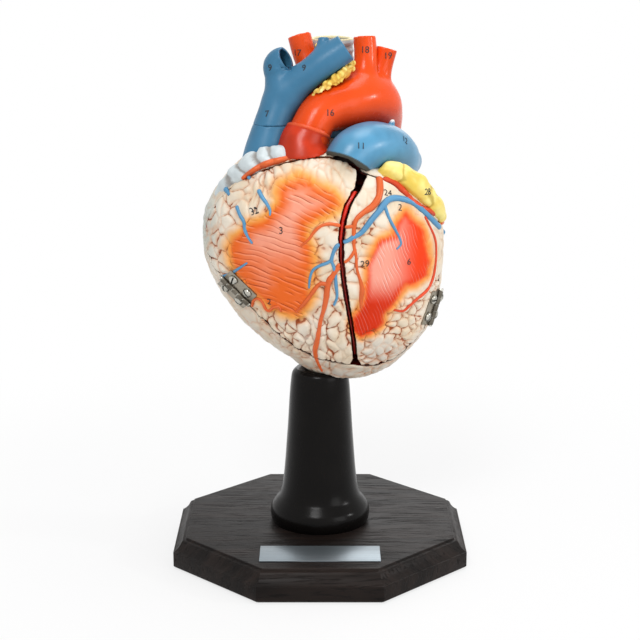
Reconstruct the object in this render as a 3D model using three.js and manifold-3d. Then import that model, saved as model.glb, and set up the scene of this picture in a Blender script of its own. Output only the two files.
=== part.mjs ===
import * as THREE from 'three';
import { mergeVertices } from 'three/addons/utils/BufferGeometryUtils.js';
import Module from 'manifold-3d';

// Heart anatomy model on a turned post and an octagonal base, about twice life size.
// Sizes are in millimetres. The origin is on the floor under the middle of the base.
// +Z is up, the two doors face -Y, and +X is to the viewer's right.

const wasm = await Module();
wasm.setup();

// Base
const base_across = 215;
const base_moulding = 9.3;
const base_top_across = base_across - 2 * base_moulding;
const base_height = 22.6;
const base_band_height = 12.8;
const base_top_step = 1.4;
const felt_thickness = 1;
const felt_inset = 3;
const plate_width = 86;
const plate_depth = 28;
const plate_thickness = 0.8;
const plate_corner = 4;
const plate_front_margin = 12;

// Post and the rod that clamps base, post and heart together
const post_height = 118.4;
const post_foot_radius = 37.2;
const post_neck_radius = 28.8;
const post_top_radius = 21.5;
const rod_radius = 4;
const nut_across = 13;
const nut_height = 6.5;
const washer_radius = 10;
const washer_thickness = 1.6;
const counterbore_radius = 13;
const counterbore_depth = 11;
const boss_radius = 10;
const boss_height = 16;
const thread_end = 2;

// Heart body: height above the seat, reach to the left, right, front and back
const body_stations = [
  [-8, 24, 24, 5, 5],
  [-4.5, -1, 38, -14, 20],
  [2, -14, 52, -22, 28],
  [11, -25, 61.5, -30, 35],
  [21, -39.5, 71, -36.5, 42],
  [36, -56, 81.5, -44, 49],
  [51, -67, 86, -50, 54],
  [64, -75, 88, -55, 57],
  [85, -83.3, 89.3, -60, 60],
  [103, -84.6, 89, -62, 62],
  [118, -83, 86, -62, 64],
  [130, -77.5, 80, -60, 61],
  [142, -69, 70, -56, 58],
  [155, -56, 52, -47, 50],
  [164, -38, 32, -34, 38],
  [170, -3, -3, 5, 5],
];
const body_power = 2.2;
const body_rings = 18;
const body_sides = 26;
const body_wall = 7;

// Left atrium: a swelling at the back, as a middle and half sizes
const atrium_centre = [-4, 42, 122];
const atrium_half = [44, 28, 28];

// Seam between the doors and the back shell, and the crack between the two doors.
// Points are [x, height above the seat] on the front of the body.
const seam_gap = 0.7;
const seam_draft = 0.27;
const crack_draft = 0.42;
const seam_back = -14;
const door_sweep = 1.6;
const crack_line = [
  [28.4, 149.5, 6], [24.3, 140.5, 5], [19, 131.5, 4.6], [15.8, 120.5, 4], [14.5, 108, 3.4],
  [14.7, 94, 2.9], [16.2, 80, 2.7], [18.3, 65.4, 2.6], [21.4, 47.2, 2.6], [24.2, 28.3, 2.6],
  [25.4, 15, 2.6],
];
const right_seam = [
  [21, 10.6], [9, 12.7], [-4, 16.4], [-17, 23.3], [-29, 34], [-41, 46.6], [-50.7, 56.7],
  [-60, 66], [-68.7, 74.6], [-76.5, 85.5], [-80.8, 96], [-81.5, 106],
];
const right_top = [
  [-79.5, 114], [-74.5, 123.5], [-66.6, 134], [-57.6, 142.3], [-43, 150.8], [-24.3, 157.8],
  [-8, 161.6], [6.4, 161.8], [18, 158.6], [23.5, 154.5],
];
const left_top = [
  [34.5, 149.4], [43, 146.6], [52.8, 140.4], [62, 132.6], [72, 123.6], [82.3, 114], [94, 107],
];
const left_seam = [
  [96, 88], [95, 66], [88, 58], [81.8, 49], [77.4, 39.6], [73.6, 33], [64.7, 21.6], [53.6, 12.8],
  [42.5, 8.6], [31, 8.6],
];

// Butt hinges of the doors
const leaf_length = 25.4;
const leaf_width = 12.4;
const leaf_thickness = 1;
const barrel_radius = 2.3;
const pin_radius = 1.2;
const pin_clearance = 0.15;
const knuckle_gap = 0.35;
const knuckles = 5;
const hinge_rise = 0.6;
const hinge_relief = 0.6;
const screw_head_radius = 3;
const screw_head_height = 1.9;
const screw_shank_radius = 1.1;
const screw_length = 5;
const screw_across = 7.6;
const screw_spacing = 13.4;
const slot_width = 0.9;
const leaf_bed = 0.2;
const right_hinge_place = [-59.6, 66.2];
const right_hinge_line = [0.72, -0.1, -0.69];
const left_hinge_height = 49;
const left_hinge_line = [0.28, 0, 0.96];
const right_leaf_tilts = [-0.12, -0.16];
const left_leaf_tilts = [-0.16, -0.1];
const right_screw_turns = [20, 75, 40, 100];
const left_screw_turns = [60, 10, 30, 120];

// Great vessels: wall, and the level where the top section lifts off
const vessel_wall = 2.6;
const lift_level = 181;
const lift_gap = 0.4;
const spigot_depth = 6;
const spigot_gap = 0.3;
const spigot_wall = 2;
const aorta_seam_place = [-6.4, -20, 178.4];
const aorta_seam_direction = [0.35, 0.32, 1];
const aorta_collar = 3;
const aorta_neck_step = 1.2;
const aorta_neck_depth = 4.4;
const fit_gap = 0.3;

// Valve wall between the ventricles and the atria
const valve_wall_thickness = 6;
const valve_wall_centre = [0, 14, 118];
const tricuspid_radius = 21;
const tricuspid_offset = -39;
const mitral_radius = 19;
const mitral_offset = 35;
const septum_thickness = 9;
const septum_lean = 0.22;
const leaflet_thickness = 1.2;
const tricuspid_depth = 19;
const mitral_depth = 18;
const aortic_valve_level = 160;
const semilunar_height = 9;

// Passage from the right ventricle into the pulmonary trunk, through the wall
const port_path = [[14, -30, 140], [18, -35, 155], [22, -33, 161]];
const port_radius = 11;
const pulmonary_valve_place = [23, -32, 163.4];

// Papillary muscles: the muscle's own line, and where its cords meet the leaflets
const papillary_radii = [8, 6.4, 4.6, 2.6];
const cord_radii = [1, 0.8];
const papillary_muscles = [
  ['right_papillary_muscle_front', [[-22, -8, 6], [-27, -8, 34], [-33, -8, 52], [-37, -8, 68]],
    [[-46, -3, 99], [-32, -4, 98], [-39, -12, 101]]],
  ['right_papillary_muscle_back', [[-70, 30, 30], [-62, 20, 52], [-56, 10, 66], [-52, 4, 76]],
    [[-50, 2, 97], [-44, 6, 95]]],
  ['left_papillary_muscle_front', [[84, -6, 24], [70, -4, 44], [60, -3, 60], [52, -3, 74]],
    [[44, -1, 98], [38, -8, 102], [32, -3, 98]]],
  ['left_papillary_muscle_back', [[44, 50, 10], [42, 36, 38], [39, 24, 56], [36, 14, 72]],
    [[42, 4, 96], [30, 4, 96]]],
];

const seat_height = base_height + post_height;

const looks = {
  stained_wood: [0x1d1513, 0.45, 0],
  felt: [0x1a1a1a, 0.95, 0],
  plate: [0xb9c2c6, 0.3, 1],
  steel: [0x8e8a80, 0.35, 1],
  pale_fat: [0xeae0d2, 0.45, 0],
  muscle: [0xb8402c, 0.45, 0],
  leaflet: [0xe9d3b8, 0.4, 0],
  aorta: [0xe4511c, 0.35, 0],
  root: [0xb8341f, 0.35, 0],
  vein: [0x2f6f96, 0.35, 0],
  trunk: [0x3a86ad, 0.35, 0],
  airway: [0xcfd0c4, 0.5, 0],
  fat: [0xe3b93a, 0.5, 0],
  atrium: [0xbfc8c4, 0.45, 0],
};

const heart = new THREE.Group();
const model = new THREE.Group();
heart.position.z = seat_height;
model.add(heart);

function material(look) {
  const [color, roughness, metalness] = looks[look];
  return new THREE.MeshStandardMaterial({ color, roughness, metalness });
}

function solid(geometry) {
  geometry.deleteAttribute('normal');
  geometry.deleteAttribute('uv');
  const merged = mergeVertices(geometry, 1e-4);
  const part = new wasm.Manifold(new wasm.Mesh({
    numProp: 3,
    vertProperties: new Float32Array(merged.attributes.position.array),
    triVerts: new Uint32Array(merged.index.array),
  }));
  return part;
}

function place(name, look, part, group = heart) {
  const source = part.getMesh();
  const geometry = new THREE.BufferGeometry();
  const points = new Float32Array(source.vertProperties);
  geometry.setAttribute('position', new THREE.BufferAttribute(points, 3));
  geometry.setIndex(new THREE.BufferAttribute(new Uint32Array(source.triVerts), 1));
  geometry.computeVertexNormals();
  const mesh = new THREE.Mesh(geometry, material(look));
  mesh.name = name;
  group.add(mesh);
  return mesh;
}

function vector(point) {
  return new THREE.Vector3(...point);
}

// A closed skin over rings of points, drawn together to one point at each end
function loft(rings, start, end) {
  const sides = rings[0].length;
  const points = [start, ...rings.flat(), end];
  const faces = [];
  const at = (ring, side) => 1 + ring * sides + (side % sides);
  for (let side = 0; side < sides; side += 1) {
    faces.push(0, at(0, side + 1), at(0, side));
    for (let ring = 0; ring + 1 < rings.length; ring += 1) {
      const [a, b] = [at(ring, side), at(ring, side + 1)];
      const [c, d] = [at(ring + 1, side), at(ring + 1, side + 1)];
      faces.push(a, b, d, a, d, c);
    }
    faces.push(points.length - 1, at(rings.length - 1, side), at(rings.length - 1, side + 1));
  }
  return skin(points, faces);
}

// A closed band over rings of points, where the last ring joins the first
function band(rings) {
  const sides = rings[0].length;
  const faces = [];
  const at = (ring, side) => (ring % rings.length) * sides + (side % sides);
  for (let side = 0; side < sides; side += 1) {
    for (let ring = 0; ring < rings.length; ring += 1) {
      const [a, b] = [at(ring, side), at(ring, side + 1)];
      const [c, d] = [at(ring + 1, side), at(ring + 1, side + 1)];
      faces.push(a, b, d, a, d, c);
    }
  }
  return skin(rings.flat(), faces);
}

// Turns points and faces into a solid, with the faces pointing out
function skin(points, faces) {
  let volume = 0;
  for (let i = 0; i < faces.length; i += 3) {
    const [a, b, c] = [points[faces[i]], points[faces[i + 1]], points[faces[i + 2]]];
    volume += a.dot(new THREE.Vector3().crossVectors(b, c));
  }
  const order = volume < 0 ? [...faces].reverse() : faces;
  const geometry = new THREE.BufferGeometry();
  geometry.setFromPoints(points);
  geometry.setIndex(order);
  return solid(geometry);
}

function centre(ring) {
  const sum = ring.reduce((total, point) => total.add(point), new THREE.Vector3());
  return sum.divideScalar(ring.length);
}

function lathe(profile, sides, start = 0) {
  const points = profile.map(([radius, height]) => new THREE.Vector2(radius, height));
  const geometry = new THREE.LatheGeometry(points, sides, start);
  geometry.rotateX(Math.PI / 2);
  return solid(geometry);
}

function rod(radius, bottom, top, sides = 16) {
  return lathe([[0, bottom], [radius, bottom], [radius, top], [0, top]], sides);
}

function box(x, y, z, cx = 0, cy = 0, cz = 0) {
  return solid(new THREE.BoxGeometry(x, y, z).translate(cx, cy, cz));
}

function move(part, x, y, z) {
  return part.translate([x, y, z]);
}

function put(part, frame) {
  return part.transform(frame.elements);
}

// A frame at a point, with its Z along one direction and its X as near as can be to another
function frameAt(point, along, side = [1, 0, 0]) {
  const z = vector(along).normalize();
  const y = new THREE.Vector3().crossVectors(z, vector(side)).normalize();
  const x = new THREE.Vector3().crossVectors(y, z);
  return new THREE.Matrix4().makeBasis(x, y, z).setPosition(...point);
}

// Smooth value between numbers that stand at equal steps
function smooth(values, u) {
  const last = values.length - 1;
  const place_on = Math.min(Math.max(u, 0), 1) * last;
  const i = Math.min(Math.floor(place_on), last - 1);
  const w = place_on - i;
  const [b, c] = [values[i], values[i + 1]];
  const a = i > 0 ? values[i - 1] : 2 * b - c;
  const d = i + 2 <= last ? values[i + 2] : 2 * c - b;
  const [slope_b, slope_c] = [(c - a) / 2, (d - b) / 2];
  const bend = 3 * (c - b) - 2 * slope_b - slope_c;
  const turn = 2 * (b - c) + slope_b + slope_c;
  return b + slope_b * w + bend * w * w + turn * w * w * w;
}

// Body section at a share of the way up: height, middle and half width in X and Y
function section(u) {
  const [height, left, right, front, back] = [0, 1, 2, 3, 4].map(
    (column) => smooth(body_stations.map((row) => row[column]), u));
  return {
    height, x: (left + right) / 2, y: (front + back) / 2,
    half_x: (right - left) / 2, half_y: (back - front) / 2,
  };
}

function sectionAtHeight(height) {
  let [low, high] = [0, 1];
  for (let step = 0; step < 30; step += 1) {
    const middle = (low + high) / 2;
    if (section(middle).height < height) {
      low = middle;
    } else {
      high = middle;
    }
  }
  return section(low);
}

// Y of the body's front surface at x and height
function frontOf(x, height) {
  const cut = sectionAtHeight(height);
  const share = Math.abs((x - cut.x) / cut.half_x) ** body_power;
  return cut.y - cut.half_y * Math.max(1 - share, 0) ** (1 / body_power);
}

function onFront(x, height, rise = 0) {
  const point = new THREE.Vector3(x, frontOf(x, height), height);
  return point.addScaledVector(outward(x, height), rise);
}

// Outward direction of the body's front surface at x and height
function outward(x, height) {
  const step = 0.5;
  const dx = (frontOf(x + step, height) - frontOf(x - step, height)) / (2 * step);
  const dz = (frontOf(x, height + step) - frontOf(x, height - step)) / (2 * step);
  return new THREE.Vector3(dx, -1, dz).normalize();
}

// The body as a solid, drawn in by an inset all round
function bodySolid(inset) {
  const bottom = body_stations[0][0];
  const top = body_stations[body_stations.length - 1][0];
  const squeeze = (top - bottom - 2 * inset) / (top - bottom);
  const level = (height) => bottom + inset + (height - bottom) * squeeze;
  const rings = [];
  for (let i = 1; i < body_rings; i += 1) {
    const cut = section(i / body_rings);
    const ring = [];
    for (let side = 0; side < body_sides; side += 1) {
      const angle = (side + 0.5) * 2 * Math.PI / body_sides;
      const curve = (value) => Math.sign(value) * Math.abs(value) ** (2 / body_power);
      const half_x = Math.max(cut.half_x - inset, 1);
      const half_y = Math.max(cut.half_y - inset, 1);
      ring.push(new THREE.Vector3(
        cut.x + half_x * curve(Math.cos(angle)),
        cut.y + half_y * curve(Math.sin(angle)),
        level(cut.height)));
    }
    rings.push(ring);
  }
  const [low, high] = [section(0), section(1)];
  return loft(rings,
    new THREE.Vector3(low.x, low.y, level(bottom)),
    new THREE.Vector3(high.x, high.y, level(top)));
}

// A plug through the front wall: its sides pass through the outline on the body's
// surface and close in with depth, so that it draws straight out to the front
function plug(outline, grow, back, draft = seam_draft) {
  const front = -95;
  const turn = THREE.ShapeUtils.area(outline.map(([x, z]) => new THREE.Vector2(x, z)));
  const sign = turn > 0 ? 1 : -1;
  const rings = [front, back].map((depth) => outline.map(([x, z], i) => {
    const before = outline[(i + outline.length - 1) % outline.length];
    const after = outline[(i + 1) % outline.length];
    const along = new THREE.Vector2(after[0] - before[0], after[1] - before[1]).normalize();
    const surface = Math.min(frontOf(x, z), back);
    const out = (grow - draft * (depth - surface)) * sign;
    return new THREE.Vector3(x + along.y * out, depth, z - along.x * out);
  }));
  const flat = outline.map(([x, z]) => new THREE.Vector2(x, z));
  const count = outline.length;
  const faces = [];
  for (const [a, b, c] of THREE.ShapeUtils.triangulateShape(flat, [])) {
    const same = THREE.ShapeUtils.area([flat[a], flat[b], flat[c]]) * sign > 0;
    const [first, second] = same ? [b, c] : [c, b];
    faces.push(a, first, second);
    faces.push(count + a, count + second, count + first);
  }
  for (let i = 0; i < count; i += 1) {
    const j = (i + 1) % count;
    faces.push(j, i, count + i, j, count + i, count + j);
  }
  return skin(rings.flat(), faces);
}

// Everything to one side of the crack between the doors
function besideCrack(side) {
  const edge = crack_line.map(([x, height, gap]) => [x + side * gap / 2, height]);
  const [far, low, high] = [side * 150, -40, 200];
  const [top_x, foot_x] = [edge[0][0], edge[edge.length - 1][0]];
  return plug([[top_x, high], ...edge, [foot_x, low], [far, low], [far, high]], 0, seam_back,
    crack_draft);
}

// A solid tube along a smooth line, with its radius at each point of the line
function tube(path, radii, grow = 0, sides = 10, steps = 1.6, from = 0, to = 1) {
  const curve = new THREE.CatmullRomCurve3(path.map(vector), false, 'centripetal');
  const count = Math.max(2, Math.round((path.length - 1) * steps * (to - from)));
  const frames = curve.computeFrenetFrames(count * 4, false);
  const rings = [];
  for (let i = 0; i <= count; i += 1) {
    const u = from + (to - from) * i / count;
    const at = curve.getPoint(u);
    const tangent = curve.getTangent(u);
    const nearest = frames.normals[Math.round(u * count * 4)];
    const across = new THREE.Vector3().crossVectors(tangent, nearest).normalize();
    const up = new THREE.Vector3().crossVectors(across, tangent).normalize();
    const radius = smooth(radii, u) + grow;
    const ring = [];
    for (let side = 0; side < sides; side += 1) {
      const angle = side * 2 * Math.PI / sides;
      ring.push(at.clone()
        .addScaledVector(up, radius * Math.cos(angle))
        .addScaledVector(across, radius * Math.sin(angle)));
    }
    rings.push(ring);
  }
  return loft(rings, centre(rings[0]), centre(rings[rings.length - 1]));
}

// A path with its ends drawn out a little, for a bore that breaks through
function drawnOut(path, first, last) {
  const points = path.map(vector);
  const n = points.length;
  const start = points[0].clone().sub(points[1]).setLength(first).add(points[0]);
  const end = points[n - 1].clone().sub(points[n - 2]).setLength(last).add(points[n - 1]);
  return [start, ...points, end].map((point) => point.toArray());
}

function all(parts) {
  return parts.reduce((sum, part) => sum.add(part));
}

// Base, felt, name plate and post

function octagon(profile) {
  const corner = Math.cos(Math.PI / 8);
  return lathe(profile.map(([radius, height]) => [radius / corner, height]), 8, Math.PI / 8);
}

function makeBase() {
  const half = base_across / 2;
  const top = base_top_across / 2;
  const slope = base_height - base_top_step - base_band_height;
  const at = (across, up) => [top + (half - top) * across, base_band_height + slope * up];
  const body = octagon([
    [0, felt_thickness], [half - 1, felt_thickness], [half, felt_thickness + 1],
    [half, base_band_height], at(0.76, 0.17), at(0.52, 0.45), at(0.36, 0.78), at(0.12, 0.97),
    [top, base_height - base_top_step], [top, base_height], [0, base_height],
  ]);
  const bore = rod(rod_radius + fit_gap, 0, base_height + 1);
  const sink = rod(counterbore_radius, 0, felt_thickness + counterbore_depth, 20);
  place('base_plinth', 'stained_wood', body.subtract(bore).subtract(sink), model);
  const edge = half - felt_inset;
  const felt = octagon([[0, 0], [edge, 0], [edge, felt_thickness], [0, felt_thickness]]);
  place('base_felt', 'felt', felt.subtract(rod(counterbore_radius, -1, felt_thickness + 1, 20)), model);
}

function makeNameplate() {
  const [x, y, r] = [plate_width / 2, plate_depth / 2, plate_corner];
  const shape = new THREE.Shape();
  shape.moveTo(-x + r, -y);
  for (const [sx, sy, angle] of [[1, -1, -90], [1, 1, 0], [-1, 1, 90], [-1, -1, 180]]) {
    const from = THREE.MathUtils.degToRad(angle);
    shape.absarc(sx * (x - r), sy * (y - r), r, from, from + Math.PI / 2, false);
  }
  const geometry = new THREE.ExtrudeGeometry(shape, {
    depth: plate_thickness, bevelEnabled: false, curveSegments: 4,
  });
  const middle = -base_top_across / 2 + plate_front_margin + y;
  geometry.translate(0, middle, base_height);
  place('nameplate', 'plate', solid(geometry), model);
}

function makePost() {
  const up = (height) => base_height + height;
  const waist = (share) => post_neck_radius + (post_top_radius - post_neck_radius) * share;
  const profile = [
    [rod_radius + fit_gap, up(0)], [post_foot_radius - 1.4, up(0)], [post_foot_radius - 0.3, up(3)],
    [post_foot_radius, up(8)], [post_foot_radius - 1.2, up(12.5)], [post_foot_radius - 4, up(16.5)],
    [waist(-0.25), up(20)], [waist(0), up(25)], [waist(0.24), up(36)], [waist(0.6), up(68)],
    [waist(1), up(post_height - 9)], [post_top_radius - 1.2, up(post_height - 3)],
    [post_top_radius - 4, up(post_height)], [rod_radius + fit_gap, up(post_height)],
  ];
  profile.push(profile[0]);
  const nest = move(bodySolid(-fit_gap), 0, 0, seat_height);
  place('post', 'stained_wood', lathe(profile, 24).subtract(nest), model);
}

function hexagon(across, bottom, top) {
  return rod(across / 2 / Math.cos(Math.PI / 6), bottom, top, 6);
}

function makeRod() {
  const washer_bottom = felt_thickness + counterbore_depth - washer_thickness;
  const nut_bottom = washer_bottom - nut_height;
  const boss_top = seat_height + boss_height;
  const hole = rod(rod_radius + fit_gap, -1, seat_height * 2, 12);
  const stem = rod(rod_radius, nut_bottom - thread_end, boss_top + nut_height + thread_end, 12);
  place('clamp_rod', 'steel', stem, model);
  const washer = rod(washer_radius, washer_bottom, washer_bottom + washer_thickness, 20);
  place('rod_washer', 'steel', washer.subtract(hole), model);
  place('rod_nut', 'steel', hexagon(nut_across, nut_bottom, washer_bottom).subtract(hole), model);
  const top_nut = hexagon(nut_across, boss_top, boss_top + nut_height);
  place('heart_nut', 'steel', top_nut.subtract(hole), model);
}

// Hinges: X runs along the pin, Y across towards the door, Z out of the surface

function hingeFrame(point, along, out) {
  const x = vector(along).normalize();
  const z = vector(out).addScaledVector(x, -vector(out).dot(x)).normalize();
  const y = new THREE.Vector3().crossVectors(z, x);
  return new THREE.Matrix4().makeBasis(x, y, z).setPosition(point);
}

function alongX(part) {
  return part.rotate([0, 90, 0]);
}

function leafFrame(hinge, side, tilt) {
  const turn = new THREE.Matrix4().makeRotationX(side > 0 ? tilt : Math.PI - tilt);
  return hinge.clone().multiply(turn);
}

function knuckleSpan(index) {
  const pitch = leaf_length / knuckles;
  const low = -leaf_length / 2 + pitch * index;
  return [low + (index > 0 ? knuckle_gap / 2 : 0),
    low + pitch - (index < knuckles - 1 ? knuckle_gap / 2 : 0)];
}

// One leaf in its own frame: the plate runs along +Y, its outer face turned to +Z (or -Z)
function makeLeaf(parity, face) {
  const near = barrel_radius + 0.5;
  const sheet = -face * (leaf_thickness / 2 + leaf_bed);
  let leaf = box(leaf_length, leaf_width - near, leaf_thickness, 0, (leaf_width + near) / 2, sheet);
  for (let index = parity; index < knuckles; index += 2) {
    const [low, high] = knuckleSpan(index);
    leaf = leaf.add(alongX(rod(barrel_radius, low, high, 10)));
    leaf = leaf.add(box(high - low, near + 0.5, leaf_thickness, (low + high) / 2,
      (near + 0.5) / 2, sheet));
  }
  const round = Math.cos(Math.PI / 8);
  leaf = leaf.subtract(alongX(rod((pin_radius + pin_clearance) / round, -leaf_length, leaf_length, 8)));
  for (const end of [-1, 1]) {
    const hole = rod(screw_shank_radius + fit_gap, -3, 3, 8);
    leaf = leaf.subtract(move(hole, end * screw_spacing / 2, screw_across, 0));
  }
  return leaf;
}

function makePin() {
  const half = leaf_length / 2;
  const head = barrel_radius - 0.3;
  const tip = half + fit_gap + 1.2;
  return alongX(lathe([
    [0, -tip], [head * 0.7, -tip], [head, -tip + 0.6], [head, -half - fit_gap],
    [pin_radius, -half - fit_gap], [pin_radius, half + fit_gap], [head, half + fit_gap],
    [head, tip - 0.6], [head * 0.7, tip], [0, tip],
  ], 8));
}

function makeScrew(turn) {
  const r = screw_head_radius;
  const h = screw_head_height;
  const profile = [
    [0, -screw_length], [screw_shank_radius, -screw_length + 0.8], [screw_shank_radius, 0], [r, 0],
    [r, h * 0.3], [r * 0.7, h * 0.82], [0, h],
  ];
  const slot = box(slot_width, 3 * r, h, 0, 0, h);
  return lathe(profile, 9).subtract(slot).rotate([0, 0, turn]);
}

// Room in the wall for one leaf, with its screw holes
function leafRoom(face) {
  const depth = leaf_thickness + leaf_bed + fit_gap;
  const height = leaf_width;
  let room = box(leaf_length + 2 * fit_gap, leaf_width + fit_gap + barrel_radius, depth + height,
    0, (leaf_width + fit_gap - barrel_radius) / 2, face * (height - depth) / 2);
  for (const end of [-1, 1]) {
    const hole = rod(screw_shank_radius + fit_gap, -screw_length - 1.2, screw_length + 1.2, 8);
    room = room.add(move(hole, end * screw_spacing / 2, screw_across, 0));
  }
  return room;
}

function barrelRoom() {
  return alongX(rod(barrel_radius + hinge_relief, -leaf_length / 2 - 2.2, leaf_length / 2 + 2.2, 14));
}

// Tilt of a leaf that follows the body's surface on one side of the hinge
function hingeSet(name, hinge, tilts, turns) {
  const sides = [['door', 1, 1], ['shell', -1, 0]];
  const rooms = {};
  sides.forEach(([side_name, side, parity], at) => {
    const frame = leafFrame(hinge, side, tilts[at]);
    const face = side;
    place(`${name}_hinge_${side_name}_leaf`, 'steel', put(makeLeaf(parity, face), frame));
    for (const end of [-1, 1]) {
      const screw = makeScrew(turns[at * 2 + (end + 1) / 2]);
      const seated = face > 0 ? screw : screw.rotate([180, 0, 0]);
      const set = move(seated, end * screw_spacing / 2, screw_across, face * (fit_gap - leaf_bed));
      const label = `${name}_hinge_${side_name}_screw_${end > 0 ? 'b' : 'a'}`;
      place(label, 'steel', put(set, frame));
    }
    rooms[side_name] = put(leafRoom(face), frame);
  });
  place(`${name}_hinge_pin`, 'steel', put(makePin(), hinge));
  return { ...rooms, barrel: put(barrelRoom(), hinge) };
}

// Great vessels, as lines of points with a radius at each
const arch_path = [
  [-10, -20.3, 169], aorta_seam_place, [-1.5, -17, 187], [6, -12, 191.8], [17, -5, 195],
  [31, 6, 196.6], [41, 17, 193], [45, 30, 184], [46, 46, 169], [47, 63, 149], [47, 76, 126],
];
const arch_radii = [17.4, 14.8, 14.6, 16.4, 18.6, 18.6, 17, 15.2, 14, 13.4, 13];
const innominate_path = [[5, -7, 197], [-2, 1, 209], [-10.5, 8.5, 226], [-14.8, 12, 241.6]];
const innominate_radii = [9.5, 8.6, 8.2, 8.4];
const carotid_path = [[27, 4, 200], [31, 6, 212], [32.2, 9.5, 226], [31.4, 12, 240.8]];
const carotid_radii = [9.5, 8.4, 7.9, 7.9];
const subclavian_path = [[38, 14, 197], [42, 17, 209], [45.6, 19, 222], [48.3, 20, 232]];
const subclavian_radii = [8.6, 7.4, 7.1, 7.3];
const root_path = [
  [-11.5, -21, 150], [-11.5, -21, 160], [-11, -20.8, 169], aorta_seam_place, [-1.5, -17, 187],
];
const root_radii = [20, 19.8, 18.2, 14.8, 14.6];
const cava_path = [
  [-42, -20, 148], [-39, -18, 162], [-35.8, -15.5, 174], [-33.8, -14, lift_level],
  [-30, -11, 192], [-28, -9, 202], [-29.4, -7, 214], [-30.4, -6, 232.5],
];
const cava_radii = [15, 14.4, 13.4, 12.8, 12.2, 11, 9.2, 10.4];
const left_vein_path = [
  [-28.5, -9, 198], [-22, -10, 204.5], [-10.4, -12, 214], [4, -12.4, 224.8], [18.3, -12, 234.6],
];
const left_vein_radii = [8, 10.4, 10.4, 10, 9.9];
const small_vein_path = [[0.5, -12, 226], [1.6, -10, 233], [2.4, -8, 241.4]];
const small_vein_radii = [4, 3.5, 3.2];
const trachea_path = [[8, 29.5, 187], [8, 30, 205], [8, 30.5, 222], [8, 30, 238.6]];
const trachea_radii = [15, 16, 16.2, 16.2];
const trunk_path = [
  [15, -33, 146], [18, -35, 155], [23.5, -32, 163], [34, -23, 166.5], [47, -8, 163.5],
  [56.5, 9, 156], [60.5, 26, 149], [65, 44, 147],
];
const trunk_radii = [15.5, 16.2, 17.4, 17.8, 17, 15, 12.6, 11];
const right_branch_path = [[42, -2, 161], [26, 19, 165], [0, 33, 168], [-26, 38, 166], [-45, 42, 160]];
const right_branch_radii = [11, 10, 9.6, 9.4, 9.2];
const left_auricle_path = [
  [40, -31, 154.5], [50, -33, 152.8], [61, -31, 147.3], [72, -26, 136.4], [80.5, -19, 125.4],
  [86, -10, 116.6],
];
const left_auricle_radii = [5.5, 8.8, 9.8, 10, 8.4, 5.5];
const right_auricle_path = [
  [-29.5, -31, 163.5], [-38, -29.5, 163], [-48, -27.5, 158.5], [-58, -24, 151.5], [-67, -19, 142.5],
  [-75.5, -11, 131],
];
const right_auricle_radii = [5, 8.6, 9.2, 9.2, 9, 6.4];
const bronchus_path = [[4, 30, 196], [14, 32, 186], [21, 34, 179]];
const bronchus_radii = [11, 10, 9.4];
const trachea_bore_radii = [11, 12, 13, 13.2, 13.2, 13.2];
const trunk_nub = [[0, -4], [4, -4], [3.2, 2], [1.4, 5.6], [0, 6]];
const trunk_nub_place = [50, -5.5, 178.6];

// Lumps of the fat between the arch and the veins: middle, radius and stretch along X
const fat_lumps = [
  [-1.5, -14, 204, 6, 1.1], [5, -13, 209, 6.5, 1.1], [11.5, -11, 213.5, 6.5, 1.1],
  [18, -8, 218.5, 6.5, 1.1], [23.5, -3, 222.5, 6, 1], [10, 4, 216, 11, 1.2], [2, 8, 229, 10, 1.1],
];

// Cut veins at the back: name and look, then where each starts, its direction, radius and length
const stub_wall = 2;
const stub_bore_depth = 10;
const pulmonary_vein_radius = 8.2;
const lower_cava_radius = 13.5;
const upper_left_vein_length = 41;
const lower_left_vein_length = 44;
const upper_right_vein_length = 44;
const lower_right_vein_length = 42;
const lower_cava_length = 50;
const veins_at_the_back = [
  ['upper_left_pulmonary_vein', 'root', [50, 30, 114], [0.56, 0.82, 0.01],
    pulmonary_vein_radius, upper_left_vein_length],
  ['lower_left_pulmonary_vein', 'root', [54, 34, 98], [0.66, 0.74, -0.1],
    pulmonary_vein_radius, lower_left_vein_length],
  ['upper_right_pulmonary_vein', 'root', [-46, 34, 120], [-0.34, 0.93, 0.06],
    pulmonary_vein_radius, upper_right_vein_length],
  ['lower_right_pulmonary_vein', 'root', [-54, 36, 98], [-0.66, 0.74, -0.1],
    pulmonary_vein_radius, lower_right_vein_length],
  ['inferior_vena_cava', 'vein', [-26, 24, 62], [-0.12, 0.86, -0.5],
    lower_cava_radius, lower_cava_length],
];

function bores(path, radii, from, to) {
  const narrow = radii.map((radius) => radius - vessel_wall);
  return tube(path, narrow, 0, 8, 1.4, from, to);
}

function archSolid(grow) {
  return all([
    tube(arch_path, arch_radii, grow, 12, 1.5),
    tube(innominate_path, innominate_radii, grow),
    tube(carotid_path, carotid_radii, grow),
    tube(subclavian_path, subclavian_radii, grow),
  ]);
}

function rootSolid(grow) {
  return tube(root_path, root_radii, grow, 12);
}

function venousSolid(grow) {
  return all([
    tube(cava_path, cava_radii, grow),
    tube(left_vein_path, left_vein_radii, grow),
    tube(small_vein_path, small_vein_radii, grow, 7),
  ]);
}

function trunkSolid(grow) {
  return tube(trunk_path, trunk_radii, grow, 12)
    .add(tube(right_branch_path, right_branch_radii, grow));
}

function above(height, depth = 400) {
  return box(400, 400, depth, 0, 0, height + depth / 2);
}

function below(height) {
  return box(400, 400, 400, 0, 0, height - 200);
}

// A short neck below the lift-off level that seats in the fixed vessel's bore
function spigot(path_point, radius) {
  const [x, y] = path_point;
  const wall = spigot_wall;
  const depth = spigot_depth;
  const part = lathe([
    [radius - wall, -depth], [radius, -depth], [radius, 6], [radius - wall, 6], [radius - wall, -depth],
  ], 16);
  return move(part, x, y, lift_level + lift_gap);
}

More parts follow.
